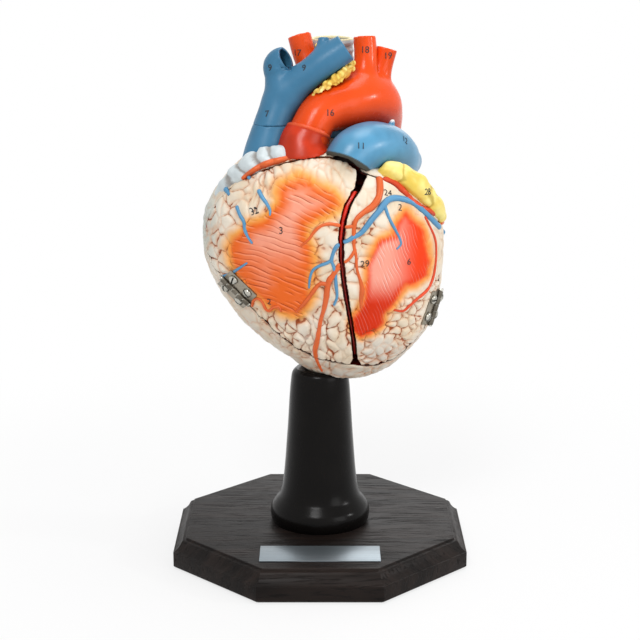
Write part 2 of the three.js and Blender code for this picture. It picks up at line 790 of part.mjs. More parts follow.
// What lies below the aorta's slanting seam, with the seam raised by a rise
function belowAortaSeam(rise) {
  const size = 4 * arch_radii[1];
  return put(box(size, size, size, 0, 0, rise - size / 2),
    frameAt(aorta_seam_place, aorta_seam_direction));
}

function makeArch() {
  const inner = [
    bores(drawnOut(arch_path, 3, 3), [17, ...arch_radii, 13], 0, 1),
    bores(drawnOut(innominate_path, 1, 3), [9.5, ...innominate_radii, 8.4], 0.1, 1),
    bores(drawnOut(carotid_path, 1, 3), [9.5, ...carotid_radii, 7.9], 0.1, 1),
    bores(drawnOut(subclavian_path, 1, 3), [8.6, ...subclavian_radii, 7.3], 0.1, 1),
  ];
  const neck_radius = arch_radii[1] - vessel_wall - aorta_neck_step;
  const [x, y, seam] = aorta_seam_place;
  const neck_foot = seam - arch_radii[1] * 0.35 - aorta_neck_depth;
  const neck = rod(neck_radius, neck_foot, seam + arch_radii[1])
    .subtract(rod(neck_radius - spigot_wall, neck_foot - 1, seam + arch_radii[1] + 1));
  const collar = lift_gap + aorta_collar;
  const part = archSolid(0).subtract(all(inner).subtract(belowAortaSeam(collar)))
    .subtract(belowAortaSeam(lift_gap))
    .add(move(neck, x, y, 0).intersect(belowAortaSeam(collar)))
    .subtract(move(rod(neck_radius - spigot_wall, neck_foot - 1, seam + aorta_collar), x, y, 0));
  place('aortic_arch', 'aorta', part);
}

function makeRoot(body) {
  const outer = rootSolid(0).intersect(belowAortaSeam(0));
  const [x, y, seam] = aorta_seam_place;
  const bore_radius = arch_radii[1] - vessel_wall;
  const step_level = seam - arch_radii[1] * 0.35 - aorta_neck_depth - 1;
  const bore = rod(bore_radius, 155, step_level)
    .add(rod(bore_radius - aorta_neck_step + spigot_gap, 156, seam + arch_radii[1]));
  const cut = outer.subtract(move(bore, x, y, 0)).subtract(body);
  place('aortic_root', 'root', cut);
  const valve = cusps(arch_radii[1] - vessel_wall - 2 * fit_gap, 3, semilunar_height);
  place('aortic_valve', 'leaflet', move(valve, x, y, aortic_valve_level).subtract(body));
}

function makeVenaCava(body) {
  const stub_index = 3;
  const stub = tube(cava_path, cava_radii).intersect(below(lift_level));
  const [x, y] = cava_path[stub_index];
  const bore_radius = cava_radii[stub_index] - vessel_wall - 0.6;
  const bore = move(rod(bore_radius, lift_level - 12, lift_level + 1), x, y, 0);
  const root_cutter = rootSolid(fit_gap);
  place('vena_cava_stub', 'vein', stub.subtract(bore).subtract(root_cutter).subtract(body));
  const inner = [
    bores(drawnOut(cava_path, 1, 3), [15, ...cava_radii, 10.4], 0.3, 1),
    bores(drawnOut(left_vein_path, 1, 3), [8, ...left_vein_radii, 9.9], 0.15, 1),
  ];
  const part = venousSolid(0).subtract(all(inner)).intersect(above(lift_level + lift_gap))
    .add(spigot([x, y], bore_radius - spigot_gap))
    .subtract(archSolid(fit_gap)).subtract(root_cutter);
  place('superior_vena_cava', 'vein', part);
}

function makeTrachea() {
  const bronchus = (side) => tube(
    bronchus_path.map(([x, y, z]) => [trachea_path[0][0] + side * x, y, z]), bronchus_radii);
  const outer = tube(trachea_path, trachea_radii, 0, 12).add(bronchus(-1)).add(bronchus(1));
  const bore = tube(drawnOut(trachea_path, 1, 3), trachea_bore_radii, 0, 10, 1.6, 0.25, 1);
  const part = outer.subtract(bore).subtract(archSolid(fit_gap)).subtract(trunkSolid(1.5));
  place('trachea', 'airway', part);
}

function makeFat() {
  const lump = (x, y, z, radius, stretch) => solid(
    new THREE.SphereGeometry(radius, 8, 6).scale(stretch, 1, 1).translate(x, y, z));
  const mass = all(fat_lumps.map((row) => lump(...row)));
  const part = mass.subtract(archSolid(fit_gap)).subtract(venousSolid(fit_gap))
    .subtract(tube(trachea_path, trachea_radii, fit_gap, 12));
  place('mediastinal_fat', 'fat', largest(part));
}

function makeTrunk(body, sweep) {
  const lumen_path = drawnOut(trunk_path, 6, 3);
  const lumen_radii = [trunk_radii[0], ...trunk_radii, trunk_radii[trunk_radii.length - 1]];
  const bore = bores(lumen_path, lumen_radii, 0, 1);
  const branch = bores(drawnOut(right_branch_path, 1, 3), [11, ...right_branch_radii, 9.2], 0.12, 1);
  const nub = put(lathe(trunk_nub, 10), frameAt(trunk_nub_place, [0.4, 0.05, 1]));
  const root_cutter = rootSolid(fit_gap);
  const part = trunkSolid(0).add(nub).subtract(bore).subtract(branch).subtract(body)
    .subtract(root_cutter).subtract(archSolid(lift_gap)).subtract(sweep);
  place('pulmonary_trunk', 'trunk', largest(part));
  const seat = bores(lumen_path, lumen_radii.map((radius) => radius - fit_gap), 0, 1);
  const flow = vector(trunk_path[2]).sub(vector(trunk_path[1])).toArray();
  const valve = put(cusps(trunk_radii[2], 3, semilunar_height), frameAt(pulmonary_valve_place, flow));
  place('pulmonary_valve', 'leaflet', largest(valve.intersect(seat).subtract(body).subtract(sweep)));
}

// Cusps that meet in the middle of a round seat, domed downstream
function cusps(radius, count, height) {
  const sides = count * 6;
  const ring = (share, level, lift) => Array.from({ length: sides }, (_, side) => {
    const angle = side * 2 * Math.PI / sides;
    const fold = Math.abs(Math.cos(angle * count / 2));
    const r = radius * share;
    return new THREE.Vector3(r * Math.cos(angle), r * Math.sin(angle), level + lift * fold * height);
  });
  const top = [ring(1, height * 0.5, 0), ring(0.75, -height * 0.05, 0.3), ring(0.45, -height * 0.1, 0.45),
    ring(0.12, height * 0.3, 0.25)];
  const drop = new THREE.Vector3(0, 0, -leaflet_thickness);
  const under = top.map((points) => points.map((p) => p.clone().add(drop)));
  const middle = new THREE.Vector3(0, 0, height * 0.3);
  return loft([...top].reverse().concat(under), middle, middle.clone().add(drop));
}

// Leaflets that hang from a ring as a funnel with a scalloped edge
function funnel(radius, leaflets, depth, rim) {
  const sides = leaflets * 8;
  const ring = (r, level, scallop) => Array.from({ length: sides }, (_, side) => {
    const angle = side * 2 * Math.PI / sides;
    const dip = Math.abs(Math.sin(angle * leaflets / 2)) ** 0.7;
    return new THREE.Vector3(r * Math.cos(angle), r * Math.sin(angle), level - scallop * (1 - dip));
  });
  return band([
    ring(radius, -rim / 2, 0), ring(radius, rim / 2, 0),
    ring(radius - 2 * leaflet_thickness, rim / 2 + 1, 0),
    ring(radius * 0.72, depth * 0.6, depth * 0.15), ring(radius * 0.5, depth, depth * 0.5),
    ring(radius * 0.5 - leaflet_thickness, depth, depth * 0.5),
    ring(radius * 0.72 - leaflet_thickness, depth * 0.6 - 1, depth * 0.15),
    ring(radius - 3.5 * leaflet_thickness, -rim / 2, 0),
  ]);
}

function valveFrame() {
  return frameAt(valve_wall_centre, [0, -0.8, -0.6]);
}

function makeInterior(cavity, port) {
  const frame = valveFrame();
  const holes = [[tricuspid_offset, tricuspid_radius], [mitral_offset, mitral_radius]].map(
    ([x, radius]) => move(rod(radius + fit_gap, -20, 20, 24), x, 0, 0));
  const wall = put(box(220, 190, valve_wall_thickness).subtract(all(holes)), frame);
  place('valve_wall', 'muscle', wall.intersect(cavity).subtract(port));

  const rows = [...crack_line].reverse().map(([x, height]) => [Math.min(x, 22.5), height]);
  const slab_rows = [[24, 0], ...rows.slice(1, -1), [22.5, 143]];
  const ring = ([x, height]) => [[-70, -1], [-70, 1], [70, 1], [70, -1]].map(([y, side]) => (
    new THREE.Vector3(x - septum_lean * (y + 58) + side * septum_thickness / 2, y, height)));
  const rings = slab_rows.map(ring);
  const slab = loft(rings, centre(rings[0]), centre(rings[rings.length - 1]));
  const behind = put(box(300, 300, 200, 0, 0, valve_wall_thickness / 2 + fit_gap - 100), frame);
  const nut_room = rod(boss_radius + 1, -20, boss_height + nut_height + 6, 16);
  const septum = slab.intersect(cavity).intersect(move(cavity, 0, 1.2, 0)).subtract(behind)
    .subtract(nut_room);
  place('ventricular_septum', 'muscle', largest(septum));

  const rim = valve_wall_thickness - 1;
  const tricuspid = funnel(tricuspid_radius, 3, tricuspid_depth, rim);
  place('tricuspid_valve', 'leaflet', put(move(tricuspid, tricuspid_offset, 0, 0), frame));
  const mitral = funnel(mitral_radius, 2, mitral_depth, rim);
  place('mitral_valve', 'leaflet', put(move(mitral, mitral_offset, 0, 0), frame));

}

// A finger of muscle on the wall, with cords that run up to the leaflets
function makePapillary(name, path, ends, cavity) {
  const tip = path[path.length - 1];
  const muscle = tube(path, papillary_radii, 0, 8);
  const cords = ends.map((end) => tube([tip, end], cord_radii, 0, 5));
  place(name, 'muscle', all([muscle, ...cords]).intersect(cavity));
}

function makePapillaries(cavity) {
  for (const [name, path, ends] of papillary_muscles) {
    makePapillary(name, path, ends, cavity);
  }
}

// The largest of the solids that a cut leaves
function largest(part) {
  return part.decompose().sort((a, b) => b.volume() - a.volume())[0];
}

function makeAuricles(body, sweep) {
  const left = tube(left_auricle_path, left_auricle_radii)
    .subtract(body).subtract(sweep).subtract(trunkSolid(fit_gap));
  place('left_auricle', 'fat', largest(left));
  const cava = tube(cava_path, cava_radii, fit_gap);
  const right = tube(right_auricle_path, right_auricle_radii)
    .subtract(body).subtract(sweep).subtract(cava).subtract(rootSolid(fit_gap));
  place('right_auricle', 'atrium', largest(right));
}

function makeStub([name, look, start, along, radius, length], body) {
  const outer = rod(radius, 0, length, 12);
  const bore = rod(radius - stub_wall, length - stub_bore_depth, length + 1, 12);
  place(name, look, largest(put(outer.subtract(bore), frameAt(start, along)).subtract(body)));
}

// Raised vessels that are cast with the doors
const left_vein_relief = [[82, 114], [72, 121], [58, 131], [53, 130.5], [43, 119], [34, 112], [22, 106]];
const left_artery_relief = [[42, 143], [41, 130], [32, 122], [25, 116], [24, 104], [27, 88], [30, 72], [31, 60]];
const right_artery_relief = [[10, 88], [4, 76], [-1, 55], [-5, 33], [-5, 20]];
const right_vein_relief = [[12, 104], [8, 94], [0, 92], [-6, 80]];

function relief(points, radius) {
  const path = points.map(([x, height]) => onFront(x, height, 0).toArray());
  return tube(path, [radius, radius, radius, radius * 0.7], 0, 6);
}

// The left atrium swells out of the back of the body between the pulmonary veins
function atriumSwell(grow) {
  const [x, y, z] = atrium_half;
  const ball = new THREE.SphereGeometry(1, 16, 10).scale(x + grow, y + grow, z + grow);
  return solid(ball.translate(...atrium_centre));
}

function makeHeart() {
  const plain = bodySolid(0);
  const body = plain.add(atriumSwell(0));
  const grown = bodySolid(-fit_gap).add(atriumSwell(fit_gap));
  const hollow = bodySolid(body_wall);
  const cavity = bodySolid(body_wall + fit_gap);

  const outline = [...right_seam, ...right_top, ...left_top, ...left_seam];
  const lid = plug(outline, 0, seam_back);

  const [hx, hz] = right_hinge_place;
  const right_out = outward(hx, hz);
  const right_point = onFront(hx, hz, hinge_rise);
  const right_hinge = hingeFrame(right_point, right_hinge_line, right_out.toArray());

  const level = sectionAtHeight(left_hinge_height);
  const reach = (seam_back - level.y) / level.half_y;
  const left_x = level.x + level.half_x * (1 - Math.abs(reach) ** body_power) ** (1 / body_power);
  const left_out = outward(left_x - 0.6, left_hinge_height);
  const left_point = new THREE.Vector3(left_x, seam_back, left_hinge_height)
    .addScaledVector(left_out, hinge_rise);
  const left_hinge = hingeFrame(left_point, left_hinge_line, left_out.toArray());

  const right_rooms = hingeSet('right', right_hinge, right_leaf_tilts, right_screw_turns);
  const left_rooms = hingeSet('left', left_hinge, left_leaf_tilts, left_screw_turns);

  const port = tube(port_path, port_path.map(() => port_radius), 0, 12, 2);
  const boss = rod(boss_radius, -12, boss_height, 16).intersect(plain);
  const rod_hole = rod(rod_radius + fit_gap, -20, boss_height + 1, 12);
  const opening = plug(outline, seam_gap, seam_back + seam_gap);
  const shell = body.subtract(hollow).add(boss).subtract(rod_hole).subtract(opening).subtract(port)
    .subtract(right_rooms.shell).subtract(right_rooms.door).subtract(right_rooms.barrel)
    .subtract(left_rooms.shell).subtract(left_rooms.door).subtract(left_rooms.barrel);
  place('heart_back_shell', 'pale_fat', largest(shell));

  const front = plain.add(relief(right_artery_relief, 2.4)).add(relief(right_vein_relief, 1.8))
    .add(relief(left_vein_relief, 2.8)).add(relief(left_artery_relief, 2.4)).subtract(hollow);
  const right_door = front.intersect(lid).intersect(besideCrack(-1))
    .subtract(right_rooms.door).subtract(right_rooms.barrel).subtract(right_rooms.shell);
  const left_door = front.intersect(lid).intersect(besideCrack(1))
    .subtract(left_rooms.door).subtract(left_rooms.barrel).subtract(left_rooms.shell);
  place('right_ventricle_door', 'muscle', largest(right_door));
  place('left_ventricle_door', 'muscle', largest(left_door));

  makeRoot(grown);
  makeArch();
  makeVenaCava(grown);
  makeTrachea();
  makeFat();
  const sweep = plug(outline, door_sweep, seam_back);
  makeTrunk(grown, sweep);
  makeAuricles(grown, sweep);
  veins_at_the_back.forEach((vein) => makeStub(vein, grown));
  makeInterior(cavity, port);
  makePapillaries(cavity);
}

makeBase();
makeNameplate();
makePost();
makeRod();
makeHeart();

export default model;
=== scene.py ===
"""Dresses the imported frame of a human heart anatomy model.

The heart is a painted teaching model, about twice life size. Its two ventricles open as
hinged doors, and the top section with the great vessels lifts off. It stands on a turned
black post and an octagonal base of stained wood.
"""

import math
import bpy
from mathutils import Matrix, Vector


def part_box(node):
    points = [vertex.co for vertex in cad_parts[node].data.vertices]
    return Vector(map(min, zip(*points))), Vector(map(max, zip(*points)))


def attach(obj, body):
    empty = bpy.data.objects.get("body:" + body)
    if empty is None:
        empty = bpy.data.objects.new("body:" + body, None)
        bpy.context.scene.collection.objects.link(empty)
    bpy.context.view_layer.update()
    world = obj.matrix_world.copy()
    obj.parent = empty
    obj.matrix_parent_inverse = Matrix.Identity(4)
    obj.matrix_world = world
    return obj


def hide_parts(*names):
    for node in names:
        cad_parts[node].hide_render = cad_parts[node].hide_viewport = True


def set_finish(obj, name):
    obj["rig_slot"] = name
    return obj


bl_info = {
    "name": "Heart anatomy model",
    "version": (1, 0, 0),
    "blender": (4, 5, 0),
    "location": "View3D > Sidebar > Heart model",
    "description": "Dresses the packed frame of a classroom heart model",
    "category": "Object",
}

import bmesh
import bpy
import numpy as np
from bpy.props import FloatProperty, FloatVectorProperty, PointerProperty
from mathutils import Matrix, Vector, noise
from mathutils.bvhtree import BVHTree
from mathutils.kdtree import KDTree

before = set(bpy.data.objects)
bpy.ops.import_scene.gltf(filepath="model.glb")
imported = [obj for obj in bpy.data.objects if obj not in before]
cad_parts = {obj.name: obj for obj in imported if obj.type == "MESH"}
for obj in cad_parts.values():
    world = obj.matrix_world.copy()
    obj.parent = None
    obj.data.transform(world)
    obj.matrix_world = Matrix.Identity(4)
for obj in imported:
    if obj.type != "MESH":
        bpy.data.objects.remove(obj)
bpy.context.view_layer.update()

MM = 0.001
SEAT = 1000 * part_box("post")[1].z

# Heart body in millimetres: height above the seat, reach to the left, right, front and back
BODY_STATIONS = (
    (-8, 24, 24, 5, 5), (-4.5, -1, 38, -14, 20), (2, -14, 52, -22, 28), (11, -25, 61.5, -30, 35),
    (21, -39.5, 71, -36.5, 42), (36, -56, 81.5, -44, 49), (51, -67, 86, -50, 54),
    (64, -75, 88, -55, 57), (85, -83.3, 89.3, -60, 60), (103, -84.6, 89, -62, 62),
    (118, -83, 86, -62, 64), (130, -77.5, 80, -60, 61), (142, -69, 70, -56, 58),
    (155, -56, 52, -47, 50), (164, -38, 32, -34, 38), (170, -3, -3, 5, 5),
)
BODY_POWER = 2.2
# The swelling of the left atrium, and how far back the left door reaches
ATRIUM_CENTRE = (-4, 42, 122)
ATRIUM_HALF = (44, 28, 28)
SEAM_BACK = -14
# The crack between the doors, by height
CRACK_HEIGHTS = (15, 28.3, 47.2, 65.4, 80, 94, 108, 120.5, 131.5, 140.5, 149.5)
CRACK_PLACES = (25.4, 24.2, 21.4, 18.3, 16.2, 14.7, 14.5, 15.8, 19, 24.3, 28.4)
CRACK_WIDTHS = (2.6, 2.6, 2.6, 2.6, 2.7, 2.9, 3.4, 4, 4.6, 5, 6)

# Great vessels: points of the middle line, then a radius at each point
AORTA = (
    (((-10, -20.3, 169), (-6.4, -20, 178.4), (-1.5, -17, 187), (6, -12, 191.8), (17, -5, 195),
      (31, 6, 196.6), (41, 17, 193), (45, 30, 184), (46, 46, 169), (47, 63, 149), (47, 76, 126)),
     (17.4, 14.8, 14.6, 16.4, 18.6, 18.6, 17, 15.2, 14, 13.4, 13)),
    (((5, -7, 197), (-2, 1, 209), (-10.5, 8.5, 226), (-14.8, 12, 241.6)), (9.5, 8.6, 8.2, 8.4)),
    (((27, 4, 200), (31, 6, 212), (32.2, 9.5, 226), (31.4, 12, 240.8)), (9.5, 8.4, 7.9, 7.9)),
    (((38, 14, 197), (42, 17, 209), (45.6, 19, 222), (48.3, 20, 232)), (8.6, 7.4, 7.1, 7.3)),
)
AORTIC_ROOT = (
    (((-11.5, -21, 150), (-11.5, -21, 160), (-11, -20.8, 169), (-6.4, -20, 178.4), (-1.5, -17, 187)),
     (20, 19.8, 18.2, 14.8, 14.6)),
)
AORTA_SEAM = (-6.4, -20, 178.4)
AORTA_SEAM_DIRECTION = (0.35, 0.32, 1)
CAVA = (
    (((-42, -20, 148), (-39, -18, 162), (-35.8, -15.5, 174), (-33.8, -14, 181), (-30, -11, 192),
      (-28, -9, 202), (-29.4, -7, 214), (-30.4, -6, 232.5)),
     (15, 14.4, 13.4, 12.8, 12.2, 11, 9.2, 10.4)),
    (((-28.5, -9, 198), (-22, -10, 204.5), (-10.4, -12, 214), (4, -12.4, 224.8),
      (18.3, -12, 234.6)), (8, 10.4, 10.4, 10, 9.9)),
    (((0.5, -12, 226), (1.6, -10, 233), (2.4, -8, 241.4)), (4, 3.5, 3.2)),
)
TRUNK = (
    (((15, -33, 146), (18, -35, 155), (23.5, -32, 163), (34, -23, 166.5), (47, -8, 163.5),
      (56.5, 9, 156), (60.5, 26, 149), (65, 44, 147)), (15.5, 16.2, 17.4, 17.8, 17, 15, 12.6, 11)),
    (((42, -2, 161), (26, 19, 165), (0, 33, 168), (-26, 38, 166), (-45, 42, 160)),
     (11, 10, 9.6, 9.4, 9.2)),
)
WINDPIPE = (
    (((8, 29.5, 187), (8, 30, 205), (8, 30.5, 222), (8, 30, 238.6)), (15, 16, 16.2, 16.2)),
    (((12, 30, 196), (22, 32, 186), (29, 34, 179)), (11, 10, 9.4)),
    (((4, 30, 196), (-6, 32, 186), (-13, 34, 179)), (11, 10, 9.4)),
)
RIGHT_AURICLE = (
    ((-29.5, -31, 163.5), (-38, -29.5, 163), (-48, -27.5, 158.5), (-58, -24, 151.5),
     (-67, -19, 142.5), (-75.5, -11, 131)), (5, 8.6, 9.2, 9.2, 9, 6.4),
)
LEFT_AURICLE = (
    ((40, -31, 154.5), (50, -33, 152.8), (61, -31, 147.3), (72, -26, 136.4), (80.5, -19, 125.4),
     (86, -10, 116.6)), (5.5, 8.8, 9.8, 10, 8.4, 5.5),
)
# Fillet where tubes join, and the step from one point of a tube's line to the next
FILLET = 3.2
LINE_STEP = 0.6
# A soft hollow and a soft rise: middle, size and height
ARCH_HOLLOW = ((8, -5, 210), 11, -4.4)
CAVA_SWELL = ((-17, -11, 196), 9, 2.6)
# The remnant on the trunk in X and height, and the distance between two rings of the windpipe
TRUNK_TIP = (51.6, 182)
RING_PITCH = 5.6

# The right brachiocephalic vein's bent end, and the plane that cuts it open
VEIN_BEND = (
    ((-28.9, -8.2, 204), (-29.4, -7, 212.5), (-29.9, -6.6, 218.6), (-30, -6.6, 222), (-27.8, -7.2, 225.2),
     (-22.6, -8.6, 226.6)), (9, 9.1, 9.9, 9.7, 9.1, 8.6),
)
VEIN_CUT_HEIGHT = 219
VEIN_CUT_PLACE = (-23.7, -8.4, 226)
VEIN_CUT_OUT = (0.82, -0.38, 0.42)

# Hinges: sizes of the leaves, barrel, pin and screws, then the places and angles of both hinges
LEAF_LENGTH = 25.4
LEAF_WIDTH = 12.4
LEAF_THICKNESS = 1.0
LEAF_BED = 0.2
LEAF_CORNER = 1.0
BARREL_RADIUS = 2.2
PIN_RADIUS = 1.2
KNUCKLES = 5
KNUCKLE_GAP = 0.7
SCREW_SPACING = 13.4
SCREW_ACROSS = 7.6
SCREW_HEAD = (3.4, 2.1)
SCREW_SHANK = (1.1, 5.0)
SLOT = (1.15, 1.2)
FIT_GAP = 0.3
HINGE_RISE = 0.6
RIGHT_HINGE = (-59.6, 66.2)
RIGHT_HINGE_LINE = (0.72, -0.1, -0.69)
LEFT_HINGE_HEIGHT = 49
LEFT_HINGE_LINE = (0.28, 0, 0.96)
LEAF_TILTS = {"right": (-0.12, -0.16), "left": (-0.16, -0.1)}
SCREW_TURNS = {"right": (20, 75, 40, 100), "left": (60, 10, 30, 120)}

# Base and post: sizes across flats, heights and radii in millimetres
BASE_ACROSS = 215
BASE_TOP_ACROSS = 196.4
BASE_HEIGHT = 22.6
BASE_BAND = 12.8
BASE_STEP = 1.4
FELT = 1.0
PLATE = (86, 28, 0.8)
PLATE_CORNER = 4
PLATE_MARGIN = 12
ROD_BORE = 4.3
NUT_SINK = (13, 11)
POST_HEIGHT = 118.4
POST_FOOT = 37.2
POST_NECK = 28.8
POST_TOP = 21.5

# Camera: the picture is PICTURE pixels wide, and the lens was solved from the base's corners
PICTURE = 640
LENS = 90.08
SENSOR = 36.0
CAMERA_PLACE = Vector((0, -1.1402, 0.4641))
CAMERA_TILT = math.radians(14.136)

# Outlines of the bare muscle, in picture pixels
RIGHT_MUSCLE_PIXELS = (
    (279, 186), (299, 178), (309, 180), (319, 188), (332, 194), (340, 204), (331, 213), (317, 219),
    (307, 225), (307, 237), (309, 245), (312, 262), (309, 273), (308, 287), (311, 293), (308, 304),
    (298, 315), (281, 312), (269, 306), (255, 294), (237, 274), (232, 264), (229, 250), (234, 237),
    (243, 231), (247, 226), (265, 218), (272, 211), (278, 204), (277, 194),
)
LEFT_MUSCLE_PIXELS = (
    (406, 213), (413, 220), (423, 232), (427, 247), (428, 261), (426, 275), (415, 282), (406, 285),
    (400, 291), (396, 299), (392, 306), (384, 315), (384, 323), (376, 331), (361, 337), (355, 331),
    (354, 320), (361, 310), (364, 305), (366, 298), (367, 280), (367, 266), (374, 250), (381, 240),
    (395, 236), (397, 224), (401, 218),
)

# Vessels in relief: name, look, radius in mm at the start and the end, line in picture pixels
RELIEF_PIXELS = (
    ("great_vein", "vein", (2.1, 2.1, 2.1, 1.9, 1.5, 1.3),
     ((439, 227), (432, 220), (422, 210), (413, 203), (403, 199), (394, 198), (388, 200), (384, 204),
      (379, 211), (373, 218), (367, 226), (361, 233), (354, 237), (347, 241), (338, 245), (334, 251),
      (331, 261))),
    ("vein_branch_a", "vein", (1.2, 0.6),
     ((385, 207), (390, 220), (396, 231), (400, 239), (401, 244), (397, 249))),
    ("vein_branch_b", "vein", (1.2, 1.0, 0.7),
     ((332, 260), (327, 263), (319, 266), (313, 270), (310, 278), (309, 288))),
    ("vein_branch_c", "vein", (1.1, 1.1, 0.8),
     ((331, 260), (335, 271), (336, 285), (337, 297), (334, 305))),
    ("vein_small_a", "vein", (1.5, 1.2, 0.7), ((259, 191), (262, 197), (267, 204), (270, 210), (270, 215))),
    ("vein_small_b", "vein", (1.4, 1.2, 0.8),
     ((237, 207), (240, 215), (244, 222), (245, 230), (248, 237), (252, 243))),
    ("vein_small_c", "vein", (1.3, 1.0, 0.7), ((222, 277), (230, 274), (238, 269), (247, 263))),
    ("vein_end_a", "vein", (1.9, 1.7, 1.1), ((246.5, 173.5), (248, 175.5), (249.5, 178.5))),
    ("vein_end_b", "vein", (1.8, 1.6, 1.0), ((226, 189.5), (227.5, 191.5), (229, 194.5))),
    ("front_artery", "artery", (2.4, 2.4, 2.0, 1.6, 1.3, 1.0, 1.0, 1.6, 0.7),
     ((379, 178), (380, 189), (378, 199), (372, 207), (363, 213), (356, 220), (354, 228), (354, 237),
      (354, 247), (356, 255), (357, 270), (361, 283), (362, 290), (361, 299), (361, 308))),
    ("artery_branch_a", "artery", (1.1, 1.2, 1.0, 0.7),
     ((355, 226), (346, 227), (337, 225), (329, 224), (321, 226), (314, 232), (309, 239), (301, 246))),
    ("artery_branch_b", "artery", (1.2, 0.9), ((355, 250), (350, 258), (343, 264), (336, 272))),
    ("artery_branch_c", "artery", (1.0, 1.9, 2.0, 1.8, 1.3, 1.6, 1.9, 1.2, 1.0),
     ((340, 262), (334, 274), (329, 281), (327, 292), (326, 299), (324, 309), (321, 319), (319, 330),
      (317, 342), (315, 350), (316, 357), (318, 363), (322, 371))),
    ("artery_branch_d", "artery", (1.8, 1.4, 1.3, 0.8),
     ((327, 284), (320, 284), (315, 289), (310, 296), (302, 306), (296, 312))),
    ("right_edge_artery", "artery", (0.9, 1.1, 1.1, 0.9),
     ((252, 306), (254, 300), (259, 299), (263, 303), (265, 308), (269, 311), (274, 307), (279, 307),
      (281, 311))),
    ("left_edge_artery", "red_artery", (0.9, 1.0, 1.1, 1.3, 1.2, 0.8),
     ((425, 217), (430, 227), (435, 239), (436, 251), (435, 266), (432, 280), (427, 290), (418, 298),
      (410, 305), (403, 311), (394, 310))),
    ("groove_artery", "red_artery", (1.9, 2.4, 2.6, 2.4, 2.0),
     ((381, 180), (388, 180), (396, 184), (403, 191), (411, 200), (422, 208), (434, 213))),
    ("top_artery", "artery", (1.3, 1.9, 2.2, 2.1, 1.5),
     ((243, 178), (248, 174), (256, 168.5), (264, 164.5), (273, 161.5), (283, 159), (292, 157.5),
      (301, 157))),
)
FIXED_RELIEF = ("top_artery",)
# Vessels in relief on the back of the heart, on the body at an angle in degrees and a height in mm
BACK_RELIEF = (
    ("back_great_vein", "vein", (2.2, 2.8, 3.6, 4.0, 3.0),
     ((2, 101), (24, 97), (52, 92), (84, 88), (110, 86), (128, 80))),
    ("back_middle_vein", "vein", (1.9, 1.5, 0.9), ((112, 84), (108, 66), (100, 46), (92, 30), (84, 16))),
    ("back_left_vein", "vein", (1.5, 1.2, 0.7), ((50, 90), (44, 74), (36, 58), (24, 44))),
    ("back_artery", "artery", (1.7, 1.6, 1.2, 0.8), ((136, 92), (122, 78), (115, 60), (106, 42), (96, 24))),
    ("back_round_artery", "artery", (1.8, 1.6, 1.3), ((-14, 112), (8, 107), (34, 102), (60, 98))),
    ("back_artery_branch", "artery", (1.2, 0.7), ((22, 104), (16, 88), (12, 70), (6, 54))),
)

# Plain index numbers: text, place in picture pixels and body
INDEX_PIXELS = (
    ("32", (255, 212)), ("3", (281, 231)), ("2", (269, 302)), ("29", (365, 264)), ("24", (388, 193)),
    ("6", (409, 262)), ("2", (400, 208)), ("12", (405, 140)), ("11", (361, 146)), ("16", (330, 113)),
    ("17", (297, 53)), ("18", (365, 50)), ("19", (388, 56)), ("9", (270, 68)), ("9", (304, 68)),
    ("7", (267, 114)), ("28", (428, 192)),
)
INDEX_HEIGHT = 4.8

# Edge of the pulmonary trunk over the dark gap, in picture pixels; below it the trunk is painted as shadow
TRUNK_EDGE_PIXELS = ((320, 150), (331, 151), (341, 153), (350, 156), (358, 160), (367, 166), (374, 173),
                     (378, 179))


# Colours and sizes

def paint(code):
    """Linear colour of a six-digit sRGB code."""
    parts = [int(code[i:i + 2], 16) / 255 for i in (0, 2, 4)]
    return tuple(c / 12.92 if c <= 0.04045 else ((c + 0.055) / 1.055) ** 2.4 for c in parts)


def tinted(tone, share, lift=0.0):
    return tuple(min(c * share + lift, 1) for c in tone)


def colour(name, about, code):
    return FloatVectorProperty(name=name, description=about, subtype="COLOR", size=3,
                               min=0, max=1, default=paint(code))


class HeartPaints(bpy.types.PropertyGroup):
    """Colours of the paints and finishes."""
    fat: colour("Fat", "Cream paint of the fat on the heart", "EEE3D2")
    crack: colour("Cracks", "Stain in the cracks between the lobules of fat", "A9552A")
    muscle: colour("Muscle", "Orange paint of the right ventricle's muscle", "EE6A22")
    muscle_pale: colour("Pale muscle", "Salmon paint in the middle of the muscle", "F4A084")
    muscle_red: colour("Red muscle", "Red-orange paint of the left ventricle's muscle", "F03E08")
    glow: colour("Airbrushed edge", "Yellow-orange paint that fades out round the muscle", "F4A53C")
    chamber: colour("Chamber", "Red paint inside the chambers", "B3261A")
    # Also used as painted shade in the creases of the chamber walls
    chamber_deep: colour("Deep chamber", "Maroon paint deep in the chambers", "4E0D09")
    aorta: colour("Aorta", "Orange paint of the aortic arch", "EC4C04")
    # Red under the aortic arch, partly its own paint and partly painted shade
    aorta_shade: colour("Aorta shade", "Red paint under the aortic arch", "B82204")
    root: colour("Root", "Red paint of the aortic root", "D03408")
    vein: colour("Vein", "Blue paint of the great veins", "3B7699")
    trunk: colour("Trunk", "Blue paint of the pulmonary trunk", "438BB1")
    relief_vein: colour("Relief vein", "Blue paint of the veins on the heart", "5A97C0")
    relief_artery: colour("Relief artery", "Orange paint of the arteries on the heart", "E2662C")
    airway: colour("Windpipe", "Grey paint of the windpipe", "B9BFC0")
    yellow: colour("Yellow fat", "Yellow paint of the left auricle and the loose fat", "E8C852")
    atrium: colour("Atrium", "Pale grey-blue paint of the right auricle", "C9D2D4")
    leaflet: colour("Leaflet", "Cream paint of the valves", "EBD3B4")
    wood: colour("Wood", "Black-brown stain of the base", "1E1714")
    lacquer: colour("Lacquer", "Black lacquer of the post", "0C0A09")
    plate: colour("Plate", "Bare aluminium of the nameplate", "9AA5AC")


def length_of(name, about, default, least):
    return FloatProperty(name=name, description=about, default=default, min=least, unit="LENGTH")


